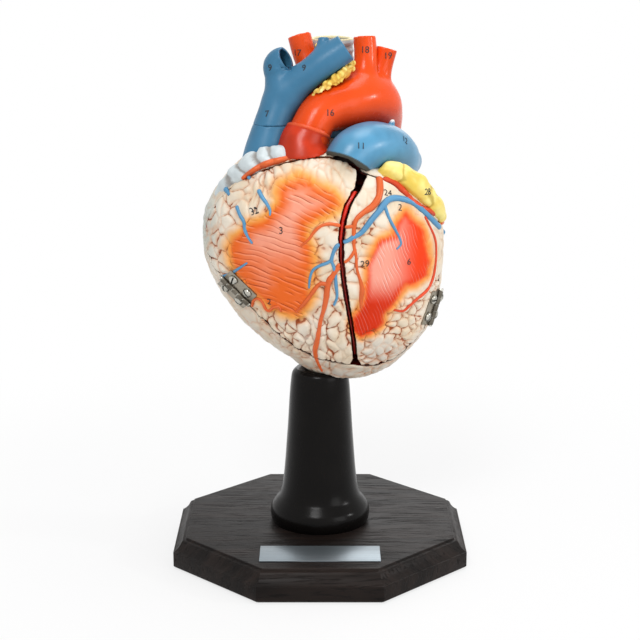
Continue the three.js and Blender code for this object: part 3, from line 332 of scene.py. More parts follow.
class HeartSizes(bpy.types.PropertyGroup):
    """Sizes of the relief, in metres."""
    wall_step: length_of("Step of the walls", "Size of the faces of the doors", 0.00066, 0.0004)
    shell_step: length_of("Step of the shell", "Size of the faces of the shell", 0.00127, 0.0004)
    lobule: length_of("Lobule", "Width of a lobule of fat", 0.0105, 0.002)
    lobule_rise: length_of("Lobule rise", "Height of a lobule of fat", 0.003, 0)
    strand: length_of("Strand", "Width of a strand of muscle", 0.0044, 0.001)


# Small helpers

def clear_selection():
    bpy.ops.object.select_all(action="DESELECT")


def select_only(obj):
    clear_selection()
    obj.select_set(True)
    bpy.context.view_layer.objects.active = obj


def made_object():
    """The object that an operator has just added, with its place put into its mesh."""
    bpy.ops.object.transform_apply(location=True, rotation=True, scale=True)
    return bpy.context.active_object


def smooth_step(low, high, value):
    share = np.clip((value - low) / (high - low), 0, 1)
    return share * share * (3 - 2 * share)


def metres(points):
    """Points in the heart's own millimetres, as metres above the floor."""
    return (np.asarray(points, float) + (0, 0, SEAT)) * MM


def coordinates(obj):
    found = np.empty(len(obj.data.vertices) * 3)
    obj.data.vertices.foreach_get("co", found)
    return found.reshape(-1, 3) / MM - (0, 0, SEAT)


def set_coordinates(obj, points):
    if not np.isfinite(points).all():
        raise RuntimeError(f"{obj.name} has a vertex without a place")
    obj.data.vertices.foreach_set("co", metres(points).ravel())
    obj.data.update()


def vertex_normals(obj):
    found = np.empty(len(obj.data.vertices) * 3)
    obj.data.vertex_normals.foreach_get("vector", found)
    return found.reshape(-1, 3)


def add_values(obj, name, values):
    """Keeps one number per vertex on the mesh for its material."""
    if not np.isfinite(values).all():
        raise RuntimeError(f"{obj.name} has an empty value in {name}")
    layer = obj.data.attributes.new(name, "FLOAT", "POINT")
    layer.data.foreach_set("value", np.asarray(values, np.float32))


def linked(name, data):
    obj = bpy.data.objects.new(name, data)
    bpy.context.collection.objects.link(obj)
    return obj


def ring_piece(name, points, sides):
    """A closed piece over rings of points, in the heart's millimetres, with flat ends."""
    last = len(points) - sides
    faces = [(start + side, start + (side + 1) % sides, start + sides + (side + 1) % sides,
              start + sides + side) for start in range(0, last, sides) for side in range(sides)]
    faces += [tuple(range(sides - 1, -1, -1)), tuple(range(last, last + sides))]
    mesh = bpy.data.meshes.new(name)
    mesh.from_pydata([tuple(p) for p in metres(points)], [], faces)
    return linked(name, mesh)


def node_copy(node, name):
    """A new piece with the mesh of a CAD node, with its doubles merged."""
    obj = linked(name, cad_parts[node].data.copy())
    obj.data.materials.clear()
    merge_doubles(obj)
    return obj


def with_edit_mesh(obj, change):
    bm = bmesh.new()
    bm.from_mesh(obj.data)
    change(bm)
    bm.to_mesh(obj.data)
    bm.free()
    obj.data.update()


def merge_doubles(obj):
    with_edit_mesh(obj, lambda bm: bmesh.ops.remove_doubles(bm, verts=bm.verts, dist=1e-6))


def apply_modifier(obj, kind, **settings):
    modifier = obj.modifiers.new(kind.lower(), kind)
    for key, value in settings.items():
        setattr(modifier, key, value)
    select_only(obj)
    bpy.ops.object.modifier_apply(modifier=modifier.name)


def remesh(obj, size):
    apply_modifier(obj, "REMESH", mode="VOXEL", voxel_size=size, adaptivity=0)


def relax(points, edges, steps, held=None):
    """Moves each point towards the middle of its neighbours, as often as steps says."""
    count = len(points)
    ends = np.concatenate((edges[:, 0], edges[:, 1]))
    others = np.concatenate((edges[:, 1], edges[:, 0]))
    weight = np.maximum(np.bincount(ends, minlength=count), 1)
    for _ in range(steps):
        middle = np.stack([
            np.bincount(ends, points[others, axis], count) for axis in range(3)], 1) / weight[:, None]
        move = (middle - points) / 2
        points = points + (move if held is None else move * held[:, None])
    return points


def edge_list(obj):
    found = np.empty(len(obj.data.edges) * 2, np.int32)
    obj.data.edges.foreach_get("vertices", found)
    return found.reshape(-1, 2)


def shade(obj, angle=None):
    select_only(obj)
    if angle is None:
        bpy.ops.object.shade_smooth()
    else:
        bpy.ops.object.shade_smooth_by_angle(angle=math.radians(angle))


def finish_piece(obj, material, body, slot, nodes=(), angle=None):
    """Gives a piece its look, its body, its material slot and the nodes it stands for."""
    obj.data.materials.clear()
    obj.data.materials.append(material)
    shade(obj, angle)
    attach(obj, body)
    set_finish(obj, slot)
    if nodes:
        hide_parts(*nodes)


def dress_node(node, material):
    """Gives a CAD node that stays its look."""
    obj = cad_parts[node]
    if not obj.material_slots:
        obj.data.materials.append(None)
    for slot in obj.material_slots:
        slot.link = "OBJECT"
        slot.material = material


# Shader maths

class Value:
    """A socket of a look, so that sums on it read as Python."""

    def __init__(self, look, socket):
        self.look = look
        self.socket = socket

    def maths(self, operation, first, second):
        return self.look.node("ShaderNodeMath", {"operation": operation}, {0: first, 1: second})

    def __add__(self, other):
        return self.maths("ADD", self, other)

    def __sub__(self, other):
        return self.maths("SUBTRACT", self, other)

    def __mul__(self, other):
        return self.maths("MULTIPLY", self, other)

    def __rsub__(self, other):
        return self.maths("SUBTRACT", other, self)

    __radd__ = __add__
    __rmul__ = __mul__


class Look:
    """A procedural look of a new material, or of the world, under construction."""

    def __init__(self, name, owner=None):
        self.material = owner or bpy.data.materials.new(name)
        self.material.use_nodes = True
        self.tree = self.material.node_tree
        self.tree.nodes.clear()
        self.place = self.node("ShaderNodeTexCoord", output="Object")

    def node(self, kind, settings=None, inputs=None, output=0):
        """Adds a node: its settings are set first, then its sockets are filled."""
        made = self.tree.nodes.new(kind)
        for key, value in (settings or {}).items():
            setattr(made, key, value)
        for key, value in (inputs or {}).items():
            socket = made.inputs[key]
            if isinstance(value, Value):
                self.tree.links.new(value.socket, socket)
            elif hasattr(socket.default_value, "__len__") and len(value) < len(socket.default_value):
                socket.default_value = (*value, 1)
            else:
                socket.default_value = value
        return Value(self, made.outputs[output])

    def noise(self, scale, detail=3, stretch=None, place=None, roughness=0.5, output=0):
        place = place or self.place
        if stretch:
            place = self.node("ShaderNodeMapping", None, {"Vector": place, "Scale": stretch})
        return self.node("ShaderNodeTexNoise", None, {
            "Vector": place, "Scale": scale, "Detail": detail, "Roughness": roughness}, output)

    def values(self, name):
        return self.node("ShaderNodeAttribute", {"attribute_name": name}, output="Fac")

    def step(self, low, high, value):
        return self.node("ShaderNodeMapRange", {"interpolation_type": "SMOOTHSTEP"}, {
            "Value": value, "From Min": low, "From Max": high})

    def mix(self, share, first, second):
        return self.node("ShaderNodeMix", {"data_type": "RGBA"}, {0: share, 6: first, 7: second}, 2)

    def axis(self, index):
        return self.node("ShaderNodeSeparateXYZ", None, {0: self.place}, index)

    def bump(self, height, distance, strength=1.0):
        return self.node("ShaderNodeBump", None, {
            "Height": height, "Distance": distance, "Strength": strength})

    def finish(self, shader, kind="ShaderNodeOutputMaterial"):
        out = self.tree.nodes.new(kind)
        self.tree.links.new(shader.socket, out.inputs[0])
        return self.material

    def surface(self, sockets):
        return self.finish(self.node("ShaderNodeBsdfPrincipled", None, sockets))


def painted(name, tone, gloss=0.36, shine=0.28, speckle=None, **marks):
    """Semi-gloss brushed paint with soft patches, and a tone for each named set of values."""
    look = Look(name)
    soft = look.noise(38, 3)
    fine = look.noise(420, 2)
    base = look.mix(look.step(0.3, 0.75, soft) * 0.5 + 0.25, tinted(tone, 0.82), tinted(tone, 1.1, 0.015))
    if speckle:
        base = look.mix(look.step(0.62, 0.72, look.noise(160, 2)) * 0.35, base, speckle)
    for mark, mark_tone in marks.items():
        base = look.mix(look.values(mark), base, mark_tone)
    return look.surface({
        "Base Color": base, "Roughness": look.step(0.2, 0.8, fine) * 0.12 + (gloss - 0.06),
        "Normal": look.bump(fine * 0.4 + look.noise(90, 2), 0.0003, 0.35),
        "Specular IOR Level": shine,
    })


# The heart's body as a smooth form

def run_through(values, share):
    """Smooth value between numbers that stand at equal steps."""
    values = np.asarray(values, float)
    last = len(values) - 1
    at = np.clip(share, 0, 1) * last
    i = np.minimum(np.floor(at).astype(int), last - 1)
    w = at - i
    b, c = values[i], values[i + 1]
    a = np.where(i > 0, values[np.maximum(i - 1, 0)], 2 * b - c)
    d = np.where(i + 2 <= last, values[np.minimum(i + 2, last)], 2 * c - b)
    slope_b, slope_c = (c - a) / 2, (d - b) / 2
    bend = 3 * (c - b) - 2 * slope_b - slope_c
    turn = 2 * (b - c) + slope_b + slope_c
    return b + slope_b * w + bend * w * w + turn * w * w * w


STATION_SHARES = np.linspace(0, 1, 1601)
HEIGHTS, LEFTS, RIGHTS, FRONTS, BACKS = (
    run_through(column, STATION_SHARES) for column in zip(*BODY_STATIONS))


def section(height):
    """Middle and half sizes of the body at a height."""
    left, right, front, back = (
        np.interp(height, HEIGHTS, row) for row in (LEFTS, RIGHTS, FRONTS, BACKS))
    half_x, half_y = np.maximum((right - left) / 2, 0.05), np.maximum((back - front) / 2, 0.05)
    return (left + right) / 2, (front + back) / 2, half_x, half_y


def body_share(points):
    """1 on the body's surface, less inside it and more outside it."""
    x, y, half_x, half_y = section(points[:, 2])
    return (np.abs((points[:, 0] - x) / half_x) ** BODY_POWER
            + np.abs((points[:, 1] - y) / half_y) ** BODY_POWER)


def body_out(points):
    """Direction out of the body."""
    step = 0.4
    out = np.stack([
        body_share(points + move) - body_share(points - move) for move in np.eye(3) * step], 1)
    return out / np.maximum(np.linalg.norm(out, axis=1), 1e-9)[:, None]


def body_depth(points, out):
    """Distance in from the body's surface, less than 0 outside it."""
    x, y, _, _ = section(points[:, 2])
    reach = np.hypot(points[:, 0] - x, points[:, 1] - y)
    share = np.maximum(body_share(points), 1e-6)
    return reach * (share ** (-1 / BODY_POWER) - 1) * np.hypot(out[:, 0], out[:, 1])


def on_body(points):
    """The points, moved level to the body's surface."""
    x, y, _, _ = section(points[:, 2])
    scale = np.maximum(body_share(points), 1e-6) ** (-1 / BODY_POWER)
    return np.stack([x + (points[:, 0] - x) * scale, y + (points[:, 1] - y) * scale, points[:, 2]], 1)


def front_of(x, height):
    middle_x, middle_y, half_x, half_y = section(height)
    share = abs((x - middle_x) / half_x) ** BODY_POWER
    return middle_y - half_y * max(1 - share, 0) ** (1 / BODY_POWER)


def front_out(x, height):
    step = 0.5
    across = (front_of(x + step, height) - front_of(x - step, height)) / (2 * step)
    up = (front_of(x, height + step) - front_of(x, height - step)) / (2 * step)
    return Vector((across, -1, up)).normalized()


def round_body(angle, height):
    """A point on the body's surface, by its angle from the +X side and its height."""
    x, y, half_x, half_y = section(height)
    turn = math.radians(angle)
    curve = [math.copysign(abs(f(turn)) ** (2 / BODY_POWER), f(turn)) for f in (math.cos, math.sin)]
    return x + half_x * curve[0], y + half_y * curve[1], height


# Camera rays

def pixel_ray(pixel):
    """Start and direction, in metres, of the camera's ray through a pixel of the picture."""
    focal = PICTURE * LENS / SENSOR
    across = (pixel[0] - PICTURE / 2) / focal
    up = (PICTURE / 2 - pixel[1]) / focal
    turn = Matrix.Rotation(math.pi / 2 - CAMERA_TILT, 3, "X")
    return CAMERA_PLACE, (turn @ Vector((across, up, -1))).normalized()


def tree_of(objects):
    """Search trees of some pieces."""
    trees = {}
    for obj in objects:
        trees[obj.name] = BVHTree.FromPolygons(
            [v.co[:] for v in obj.data.vertices], [p.vertices[:] for p in obj.data.polygons])
    return trees


def first_hit(trees, start, along):
    """Nearest place, normal and piece that a ray meets."""
    best = None
    for name, tree in trees.items():
        place, normal, _, distance = tree.ray_cast(start, along)
        if place is not None and (best is None or distance < best[3]):
            best = (place, normal, name, distance)
    return best


def pixels_on_body(pixels):
    """X and height in mm on the front of the body, for points of the picture."""
    found = []
    for pixel in pixels:
        start, along = pixel_ray(pixel)
        start = np.array(start) / MM - (0, 0, SEAT)
        steps = start + np.outer(np.linspace(950, 1250, 601), np.array(along))
        inside = body_share(steps) < 1
        inside &= (steps[:, 2] > HEIGHTS[0]) & (steps[:, 2] < HEIGHTS[-1])
        at = steps[np.argmax(inside)] if inside.any() else steps[np.argmin(body_share(steps))]
        found.append((at[0], at[2]))
    return np.array(found)


def inside_outline(points, outline):
    """Distance in mm inside an outline in X and height, less than 0 outside it."""
    x, z = points[:, 0], points[:, 2]
    nearest = np.full(len(points), 1e9)
    inside = np.zeros(len(points), bool)
    for (ax, az), (bx, bz) in zip(outline, np.roll(outline, -1, axis=0)):
        length = (bx - ax) ** 2 + (bz - az) ** 2
        share = np.clip(((x - ax) * (bx - ax) + (z - az) * (bz - az)) / length, 0, 1)
        nearest = np.minimum(nearest, np.hypot(x - ax - share * (bx - ax), z - az - share * (bz - az)))
        if az != bz:
            cross = (az > z) != (bz > z)
            inside ^= cross & (x < ax + (bx - ax) * (z - az) / (bz - az))
    return np.where(inside, nearest, -nearest)


# Noise fields over points

def clouds(points, size, seed=0.0):
    """Smooth noise between about -1 and 1."""
    scaled = (points / size + seed).tolist()
    return np.array([noise.noise(p) for p in scaled])


def wander(points, size, seed=0.0):
    """The points, moved about by smooth noise of about a fifth of its size."""
    move = np.stack([clouds(points, size, seed + 7.3 * axis) for axis in range(3)], 1)
    return points + move * size * 0.22


def cells(points, size, rounding=0.5):
    """Distance in mm to the rounded edges of cells, each point's cell, and the plain distance."""
    size = np.asarray(size, float)
    scaled = points / size
    seeds = np.empty((len(points), 4, 3))
    for i, p in enumerate(scaled.tolist()):
        seeds[i] = noise.voronoi(p)[1]
    towards = seeds[:, 1:] - seeds[:, :1]
    towards /= np.maximum(np.linalg.norm(towards, axis=2), 1e-9)[:, :, None]
    gaps = (((seeds[:, :1] + seeds[:, 1:]) / 2 - scaled[:, None]) * towards).sum(2)
    gaps /= np.maximum(np.linalg.norm(towards / size, axis=2), 1e-9)
    total = np.exp(-np.clip(gaps / rounding, -20, 60)).sum(1)
    return np.maximum(-rounding * np.log(total), 0), seeds[:, 0] * size, gaps.min(1)


# Tubes

def spline(points, share):
    """A point of a smooth line through points, at a share of the way along their list."""
    points = np.asarray(points, float)
    ends = [2 * points[0] - points[1], *points, 2 * points[-1] - points[-2]]
    at = min(max(share, 0), 1) * (len(points) - 1)
    i = min(int(at), len(points) - 2)
    w = at - i
    p = ends[i:i + 4]
    d = [max(np.linalg.norm(p[k + 1] - p[k]) ** 0.5, 1e-4) for k in range(3)]
    first = ((p[1] - p[0]) / d[0] - (p[2] - p[0]) / (d[0] + d[1]) + (p[2] - p[1]) / d[1]) * d[1]
    last = ((p[2] - p[1]) / d[1] - (p[3] - p[1]) / (d[1] + d[2]) + (p[3] - p[2]) / d[2]) * d[1]
    bend = 3 * (p[2] - p[1]) - 2 * first - last
    turn = 2 * (p[1] - p[2]) + first + last
    return p[1] + first * w + bend * w * w + turn * w ** 3


def tube_line(points, radii):
    """Closely spaced points along a tube's middle line, and the radius at each."""
    length = np.linalg.norm(np.diff(np.asarray(points, float), axis=0), axis=1).sum()
    shares = np.linspace(0, 1, max(int(length / LINE_STEP), 8))
    return np.array([spline(points, s) for s in shares]), run_through(radii, shares)


def tube_piece(name, line, radii, sides):
    """A closed round tube with rounded ends, in the heart's millimetres."""
    tangents = np.gradient(line, axis=0)
    tangents /= np.linalg.norm(tangents, axis=1)[:, None]
    across = np.cross(tangents[0], (0.3, 0.2, 1.0))
    rings = []
    ends = ((-0.95, 0.3), (-0.7, 0.71), (-0.35, 0.94))
    stations = [(0, *end) for end in ends] + [(i, 0, 1) for i in range(len(line))]
    stations += [(len(line) - 1, -push, share) for push, share in reversed(ends)]
    for i, push, share in stations:
        across = across - tangents[i] * (across @ tangents[i])
        across /= np.linalg.norm(across)
        up = np.cross(tangents[i], across)
        middle = line[i] + tangents[i] * push * radii[i]
        for side in range(sides):
            angle = side * 2 * math.pi / sides
            rings.append(middle + radii[i] * share * (across * math.cos(angle) + up * math.sin(angle)))
    return ring_piece(name, rings, sides)


def nearest_on(line, points):
    """For each point, the number of the nearest place on a line, and the distance to it."""
    tree = KDTree(len(line))
    for i, p in enumerate(line):
        tree.insert(p, i)
    tree.balance()
    found = [tree.find(p)[1:] for p in points.tolist()]
    return np.array([i for i, _ in found]), np.array([distance for _, distance in found])


def tubes_out(points, tubes):
    """Distance out from some joined tubes with filleted joints, and the direction out of them."""
    total = np.zeros(len(points))
    out = np.zeros((len(points), 3))
    for path, radii in tubes:
        line, radius = tube_line(path, radii)
        nearest, _ = nearest_on(line, points)
        away = points - line[nearest]
        distance = np.linalg.norm(away, axis=1)
        weight = np.exp(-np.clip(distance - radius[nearest], -40, 200) / FILLET)
        total += weight
        out += away / np.maximum(distance, 1e-6)[:, None] * weight[:, None]
    out /= np.maximum(np.linalg.norm(out, axis=1), 1e-9)[:, None]
    return -FILLET * np.log(np.maximum(total, 1e-30)), out


def round_vessel(node, tubes, step, rise=None):
    """A CAD vessel with round walls and filleted joints instead of faceted ones, cuts kept."""
    obj = node_copy(node, node + "_round")
    remesh(obj, step * MM)
    edges = edge_list(obj)
    points = relax(coordinates(obj), edges, 5)
    set_coordinates(obj, points)
    distance, out = tubes_out(points, tubes)
    facing = (vertex_normals(obj) * out).sum(1)
    outer = smooth_step(0.1, 0.5, facing) * (1 - smooth_step(1.4, 2.4, distance))
    lift = np.zeros(len(points)) if rise is None else rise(points)
    points = points + out * ((lift - distance) * outer)[:, None]
    set_coordinates(obj, relax(points, edges, 3))
    return obj, outer, out


def bump(middle, size, height):
    """A soft rise round a point, for round_vessel."""
    return lambda points: height * np.exp(-((points - middle) ** 2).sum(1) / size ** 2)


def soft_copy(node, ending, step, smoothing=8):
    """A CAD node remeshed evenly and smoothed, with an ending to its name."""
    obj = node_copy(node, node + ending)
    remesh(obj, step * MM)
    set_coordinates(obj, relax(coordinates(obj), edge_list(obj), smoothing))
    return obj


def swell(obj, size, rise, groove, rounding=0.9):
    """Raises pillow-like lobes over a piece, and keeps the distance to their creases."""
    points = coordinates(obj)
    gap, _, _ = cells(wander(points, 1.6 * size), size, rounding)
    pillow = np.sqrt(1 - (1 - np.clip(gap / (size * 0.36), 0, 1)) ** 2)
    points = points + vertex_normals(obj) * (rise * (pillow - 0.75))[:, None]
    set_coordinates(obj, relax(points, edge_list(obj), 2))
    add_values(obj, "crease", gap / groove)


# Hinges

def hinge_frame(point, along, out):
    """X along the pin, Y across towards the door and Z out of the surface, in millimetres."""
    x = Vector(along).normalized()
    z = (out - x * out.dot(x)).normalized()
    y = z.cross(x)
    frame_of_hinge = Matrix((x, y, z)).transposed().to_4x4()
    frame_of_hinge.translation = point
    return frame_of_hinge


def hinge_frames():
    x, height = RIGHT_HINGE
    out = front_out(x, height)
    right = hinge_frame(Vector((x, front_of(x, height), height)) + out * HINGE_RISE,
                        RIGHT_HINGE_LINE, out)
    middle_x, middle_y, half_x, half_y = section(LEFT_HINGE_HEIGHT)
    reach = (SEAM_BACK - middle_y) / half_y
    x = middle_x + half_x * (1 - abs(reach) ** BODY_POWER) ** (1 / BODY_POWER)
    out = front_out(x - 0.6, LEFT_HINGE_HEIGHT)
    left = hinge_frame(Vector((x, SEAM_BACK, LEFT_HINGE_HEIGHT)) + out * HINGE_RISE,
                       LEFT_HINGE_LINE, out)
    return {"right": right, "left": left}


def leaf_frame(hinge, side, tilt):
    return hinge @ Matrix.Rotation(tilt if side > 0 else math.pi - tilt, 4, "X")


def near_hinges(points):
    """1 by a hinge, falling to 0 a little way off."""
    near = np.zeros(len(points))
    for name, hinge in hinge_frames().items():
        for side, tilt in zip((1, -1), LEAF_TILTS[name]):
            inverse = np.array(leaf_frame(hinge, side, tilt).inverted())
            own = points @ inverse[:3, :3].T + inverse[:3, 3]
            along = np.abs(own[:, 0]) - LEAF_LENGTH / 2
            across = np.maximum(own[:, 1] - LEAF_WIDTH, -3 - own[:, 1])
            away = np.maximum(np.maximum(along, across), np.abs(own[:, 2]) - 8)
            near = np.maximum(near, 1 - smooth_step(0.7, 3.2, away))
    return near


# The heart's walls

def relief_lines():
    """Points on the body along each vessel in relief."""
    front = [[(x, front_of(x, z), z) for x, z in pixels_on_body(row[-1])] for row in RELIEF_PIXELS]
    return front + [[round_body(*place) for place in row[-1]] for row in BACK_RELIEF]


def near_relief(points):
    """Distance in mm to the nearest vessel in relief."""
    close = [spline(line, s) for line in relief_lines() for s in np.linspace(0, 1, 12 * len(line))]
    return nearest_on(close, points)[1]


def blend_of(wide, little, long, small, lengthy):
    return (wide * (1 - small) + little * small) * (1 - lengthy) + long * lengthy


def strands(phase):
    """Rounded strands with narrow grooves between them."""
    share = phase - np.floor(phase)
    return 1 - np.abs(2 * share - 1) ** 3


def chance(count, least):
    """A number between least and 1 that differs for each whole number."""
    spread = np.sin(count * 12.9898) * 43758.5453
    return least + (1 - least) * (spread - np.floor(spread))


def lobules(points, sizes, back):
    """Height of the fat, distance to its cracks, and the middle of each point's lobule.

    Lobules are wide at the sides, long towards the foot of the crack and small at the lower right.
    """
    size = sizes.lobule / MM
    warped = wander(wander(points, 18), 6, 2.0)
    wide = cells(warped, (size, size, size))
    long = cells(warped, (size * 0.62, size * 0.8, size * 1.7))
    little = cells(warped, (size * 0.72, size * 0.72, size * 0.62), 0.5)
    x, z = points[:, 0], points[:, 2]
    lengthy = (1 - smooth_step(46, 60, z)) * smooth_step(-56, -44, x) * (1 - smooth_step(20, 30, x))
    lengthy = np.maximum(lengthy, smooth_step(118, 132, z) * smooth_step(-52, -40, x))
    small = smooth_step(24, 32, x) * (1 - smooth_step(52, 64, z - (x - 50) * 0.5))
    small = np.maximum(small, smooth_step(22, 30, x) * smooth_step(92, 108, z)
                       * (1 - smooth_step(36, 44, x)))
    gap = blend_of(wide[0], little[0], long[0], small, lengthy)
    line = blend_of(wide[2], little[2] * 1.25, long[2], small, lengthy)
    seed = blend_of(wide[1], little[1], long[1], small[:, None], lengthy[:, None])
    upper = smooth_step(122, 138, z)
    closed = smooth_step(0.02, 0.42, clouds(points, 12, 3.1)) * (0.6 + 0.4 * upper)
    closed *= 1 - 0.8 * upper * smooth_step(-26, -40, x)
    closed = np.maximum(closed, upper * 0.4 * smooth_step(-38, -22, x)
                        + smooth_step(30, 44, x) * (1 - small) * 0.4)
    if back:
        closed = np.maximum(closed, 0.15 + 0.35 * smooth_step(40, 70, z))
    ragged = closed * 1.4 + 0.3 * clouds(points, 2.6, 8.0)
    reach = 4.6 - 1.6 * small
    pillow = np.sqrt(1 - (1 - np.clip((gap + ragged) / reach, 0, 1)) ** 2)
    plump = (1 - 0.45 * closed) * (1 - 0.25 * small) * (0.6 if back else 1)
    fat = sizes.lobule_rise / MM * plump * (pillow - 0.8) + 0.22 * clouds(points, 5.5, 9.0)
    return fat, line + ragged, seed


def bare_muscle(points, seed, sizes, front):
    """Height of the strands, where the muscle is bare, and the values that its paint needs.

    A lobule reaches over the muscle's edge where its own middle is out of the outline.
    """
    x, z = points[:, 0], points[:, 2]
    blur = clouds(points, 7, 5.0) * 2.2
    width = sizes.strand / MM
    sway = clouds(points, 26, 1.7) * 3.4 + clouds(points, 9, 6.1) * 1.3
    streaks = clouds(points * (0.3, 1, 1) + (0, 0, 12), 5, 2.2)
    right = (z + 0.40 * x + 0.0035 * (x + 20) ** 2 + sway) / width
    left = (x * 0.93 + z * 0.36 + sway * 0.7) / (width * 0.52)
    right_mark = smooth_step(-0.45, 0.15, streaks) * chance(np.round(right), 0.4)
    left_mark = smooth_step(-0.3, 0.4, clouds(points * (1, 1, 0.35), 6, 4.4)) * chance(np.round(left), 0.15)
    values, heights = {}, []
    for side, pixels, phase, mark, groove, rough in (
            ("right", RIGHT_MUSCLE_PIXELS, right, right_mark, 0.95, 0.25),
            ("left", LEFT_MUSCLE_PIXELS, left, left_mark, 0.45, 0.2)):
        edge = pixels_on_body(pixels)
        inside = np.where(front > 0.5, inside_outline(points, edge), -30.0)
        mixed = 0.5 * inside_outline(seed, edge) + 0.5 * inside
        values[side + "_bare"] = smooth_step(-2.6, 2.4, mixed + blur) * (inside > -7)
        values[side + "_in"] = inside
        values[side + "_phase"] = phase
        values[side + "_mark"] = mark
        heights.append(groove * (strands(phase) - 1) * mark + rough * streaks)
    left_over = values["left_bare"] > values["right_bare"]
    height = np.where(left_over, heights[1], heights[0]) - 0.15
    return height, np.maximum(values["right_bare"], values["left_bare"]), values


def dress_wall(obj, sizes, back=False):
    """Lays fat, strands of muscle and the rough inside on a wall of the heart."""
    edges = edge_list(obj)
    points = relax(coordinates(obj), edges, 2)
    set_coordinates(obj, points)
    out = body_out(points)
    depth = body_depth(points, out)
    facing = (vertex_normals(obj) * out).sum(1)
    by_hinge = near_hinges(points)
    outer = smooth_step(0.15, 0.6, facing) * smooth_step(-6, -5, depth) * (1 - smooth_step(1.7, 2.4, depth))
    swollen = np.zeros(len(points))
    if back:
        ball = np.linalg.norm((points - ATRIUM_CENTRE) / ATRIUM_HALF, axis=1)
        swollen = smooth_step(1.34, 1.06, ball) * (facing > 0) * smooth_step(26, 34, points[:, 1])
        points = relax(points, edges, 40, held=np.maximum(swollen, 0.02))
    snapped = outer * (1 - by_hinge) * (1 - smooth_step(0.05, 0.9, swollen))
    points = points + (on_body(points) - points) * snapped[:, None]
    set_coordinates(obj, points)
    level = (vertex_normals(obj) * out).sum(1)

    fat, line, seed = lobules(points, sizes, back)
    front = smooth_step(-2, -8, points[:, 1])
    muscle, bare, values = bare_muscle(points, seed, sizes, front)
    beside = 1 - smooth_step(1.6, 3.6, near_relief(points))
    rise = (fat * (1 - bare) + muscle * bare) * (1 - 0.8 * beside)
    inner = smooth_step(0.2, 0.6, -facing) * smooth_step(3.5, 5, depth)
    rough_gap = cells(wander(points, 12, 4.0), (7, 7, 16))[0]
    rough = (1 - np.clip(rough_gap / 2.4, 0, 1)) * 1.0 - 0.3
    lift = rise * outer * (1 - by_hinge) * (1 - smooth_step(0.3, 0.9, swollen) * 0.5)

    # Painted shade along the seam below the doors, away from the crack
    x, z = points[:, 0], points[:, 2]
    x_crack = np.interp(z, CRACK_HEIGHTS, CRACK_PLACES)
    seam = (1 - smooth_step(0.6, 0.9, level)) * (depth < 1.2) * (1 - smooth_step(86, 100, z))
    seam = seam * smooth_step(5, 8, np.abs(x - x_crack)) * front
    points = points + out * (lift - rough * inner)[:, None]
    set_coordinates(obj, points)
    values.update(crack=line, depth=np.where(outer > 0.4, 0, depth), seam=seam, inner=inner,
                  swollen=swollen * smooth_step(0.5, -4, body_depth(points, out)))
    for name, own in values.items():
        add_values(obj, name, own)


def fat_tone(look, paints, soft, height):
    """Cream fat, greyer low down and at the upper left, and stained near the cracks."""
    broad = look.noise(16, 2)
    warm = tuple(c * k for c, k in zip(paints.fat, (0.93, 0.84, 0.72)))
    fat = look.mix(look.step(0.35, 0.7, soft), paints.fat, warm)
    low = 1 - look.step(0.15, 0.2, height)
    fat = look.mix(low * look.step(0.4, 0.62, broad) * 0.6, fat, paint("BDB6AC"))
    side = 1 - look.step(-0.083, -0.066, look.axis(0))
    fat = look.mix(side * look.step(0.215, 0.245, height) * 0.75, fat, paint("BBC8C4"))
    stain = (1 - look.step(0.1, 1.9, look.values("crack"))) * look.step(0.3, 0.6, broad) * 0.5
    return look.mix(stain, fat, paint("E0A070"))


def muscle_tone(look, paints, fat, soft, height):
    """Muscle airbrushed over the fat: yellow-orange far out, then orange, then salmon or red."""
    right_in = look.values("right_in")
    left_in = look.values("left_in")
    spread = look.noise(60, 3) * 7 - 3.5
    right = look.mix(look.step(-9.5, -1, right_in + spread) * 0.92, fat, paints.glow)
    right = look.mix(look.step(-3.5, 3.5, right_in + spread), right, paints.muscle)
    upper = look.step(0.215, 0.255, height)
    middle = look.step(2, 12, right_in + spread) * look.step(-0.068, -0.04, look.axis(0))
    right = look.mix(middle * (upper * 0.75 + look.step(0.4, 0.65, soft) * 0.3), right,
                     paints.muscle_pale)
    inward = look.step(0.07, 0.045, look.axis(0)) * look.step(0.2, 0.222, height)
    left = look.mix(look.step(-8, -1.5, left_in + spread) * 0.9, right, paint("F5A03C"))
    left = look.mix(look.step(-3.5, 2.5, left_in + spread), left, paints.muscle_red)
    left = look.mix(look.step(0.225, 0.2, height) * look.step(-2, 3, left_in) * 0.7, left, paint("CC2800"))
    left = look.mix(inward * look.step(0, 5, left_in) * 0.75, left, paint("F8B7A2"))
    line = (1 - look.step(0.12, 0.6, look.values("crack"))) * look.step(0.25, 0.6, look.noise(48, 2))
    tone = look.mix(line * (1 - look.values("right_bare")) * (1 - look.values("left_bare")), left,
                    paints.crack)
    for side, thin, dark, groove_shade_tone, highlight_share, highlight_tone in (
            ("right", 0.13, 0.95, "A83A14", upper * 0.25 + 0.2, "FAC3A0"),
            ("left", 0.26, 0.5, "C23410", inward * 0.75 + 0.15, "FCEBE2")):
        share = look.node("ShaderNodeMath", {"operation": "FRACT"}, {0: look.values(side + "_phase")})
        shown = look.values(side + "_mark") * look.values(side + "_bare")
        # Painted shade in the narrow groove between two strands
        groove = 1 - look.step(0.0, thin, share) * (1 - look.step(1 - thin, 1.0, share))
        # Painted highlight along each strand's ridge; its share grows higher up on the right muscle
        ridge_highlight = look.step(0.62, 0.78, share) * (1 - look.step(0.82, 0.96, share))
        tone = look.mix(groove * shown * dark, tone, paint(groove_shade_tone))
        tone = look.mix(ridge_highlight * shown * highlight_share, tone, paint(highlight_tone))
    return tone


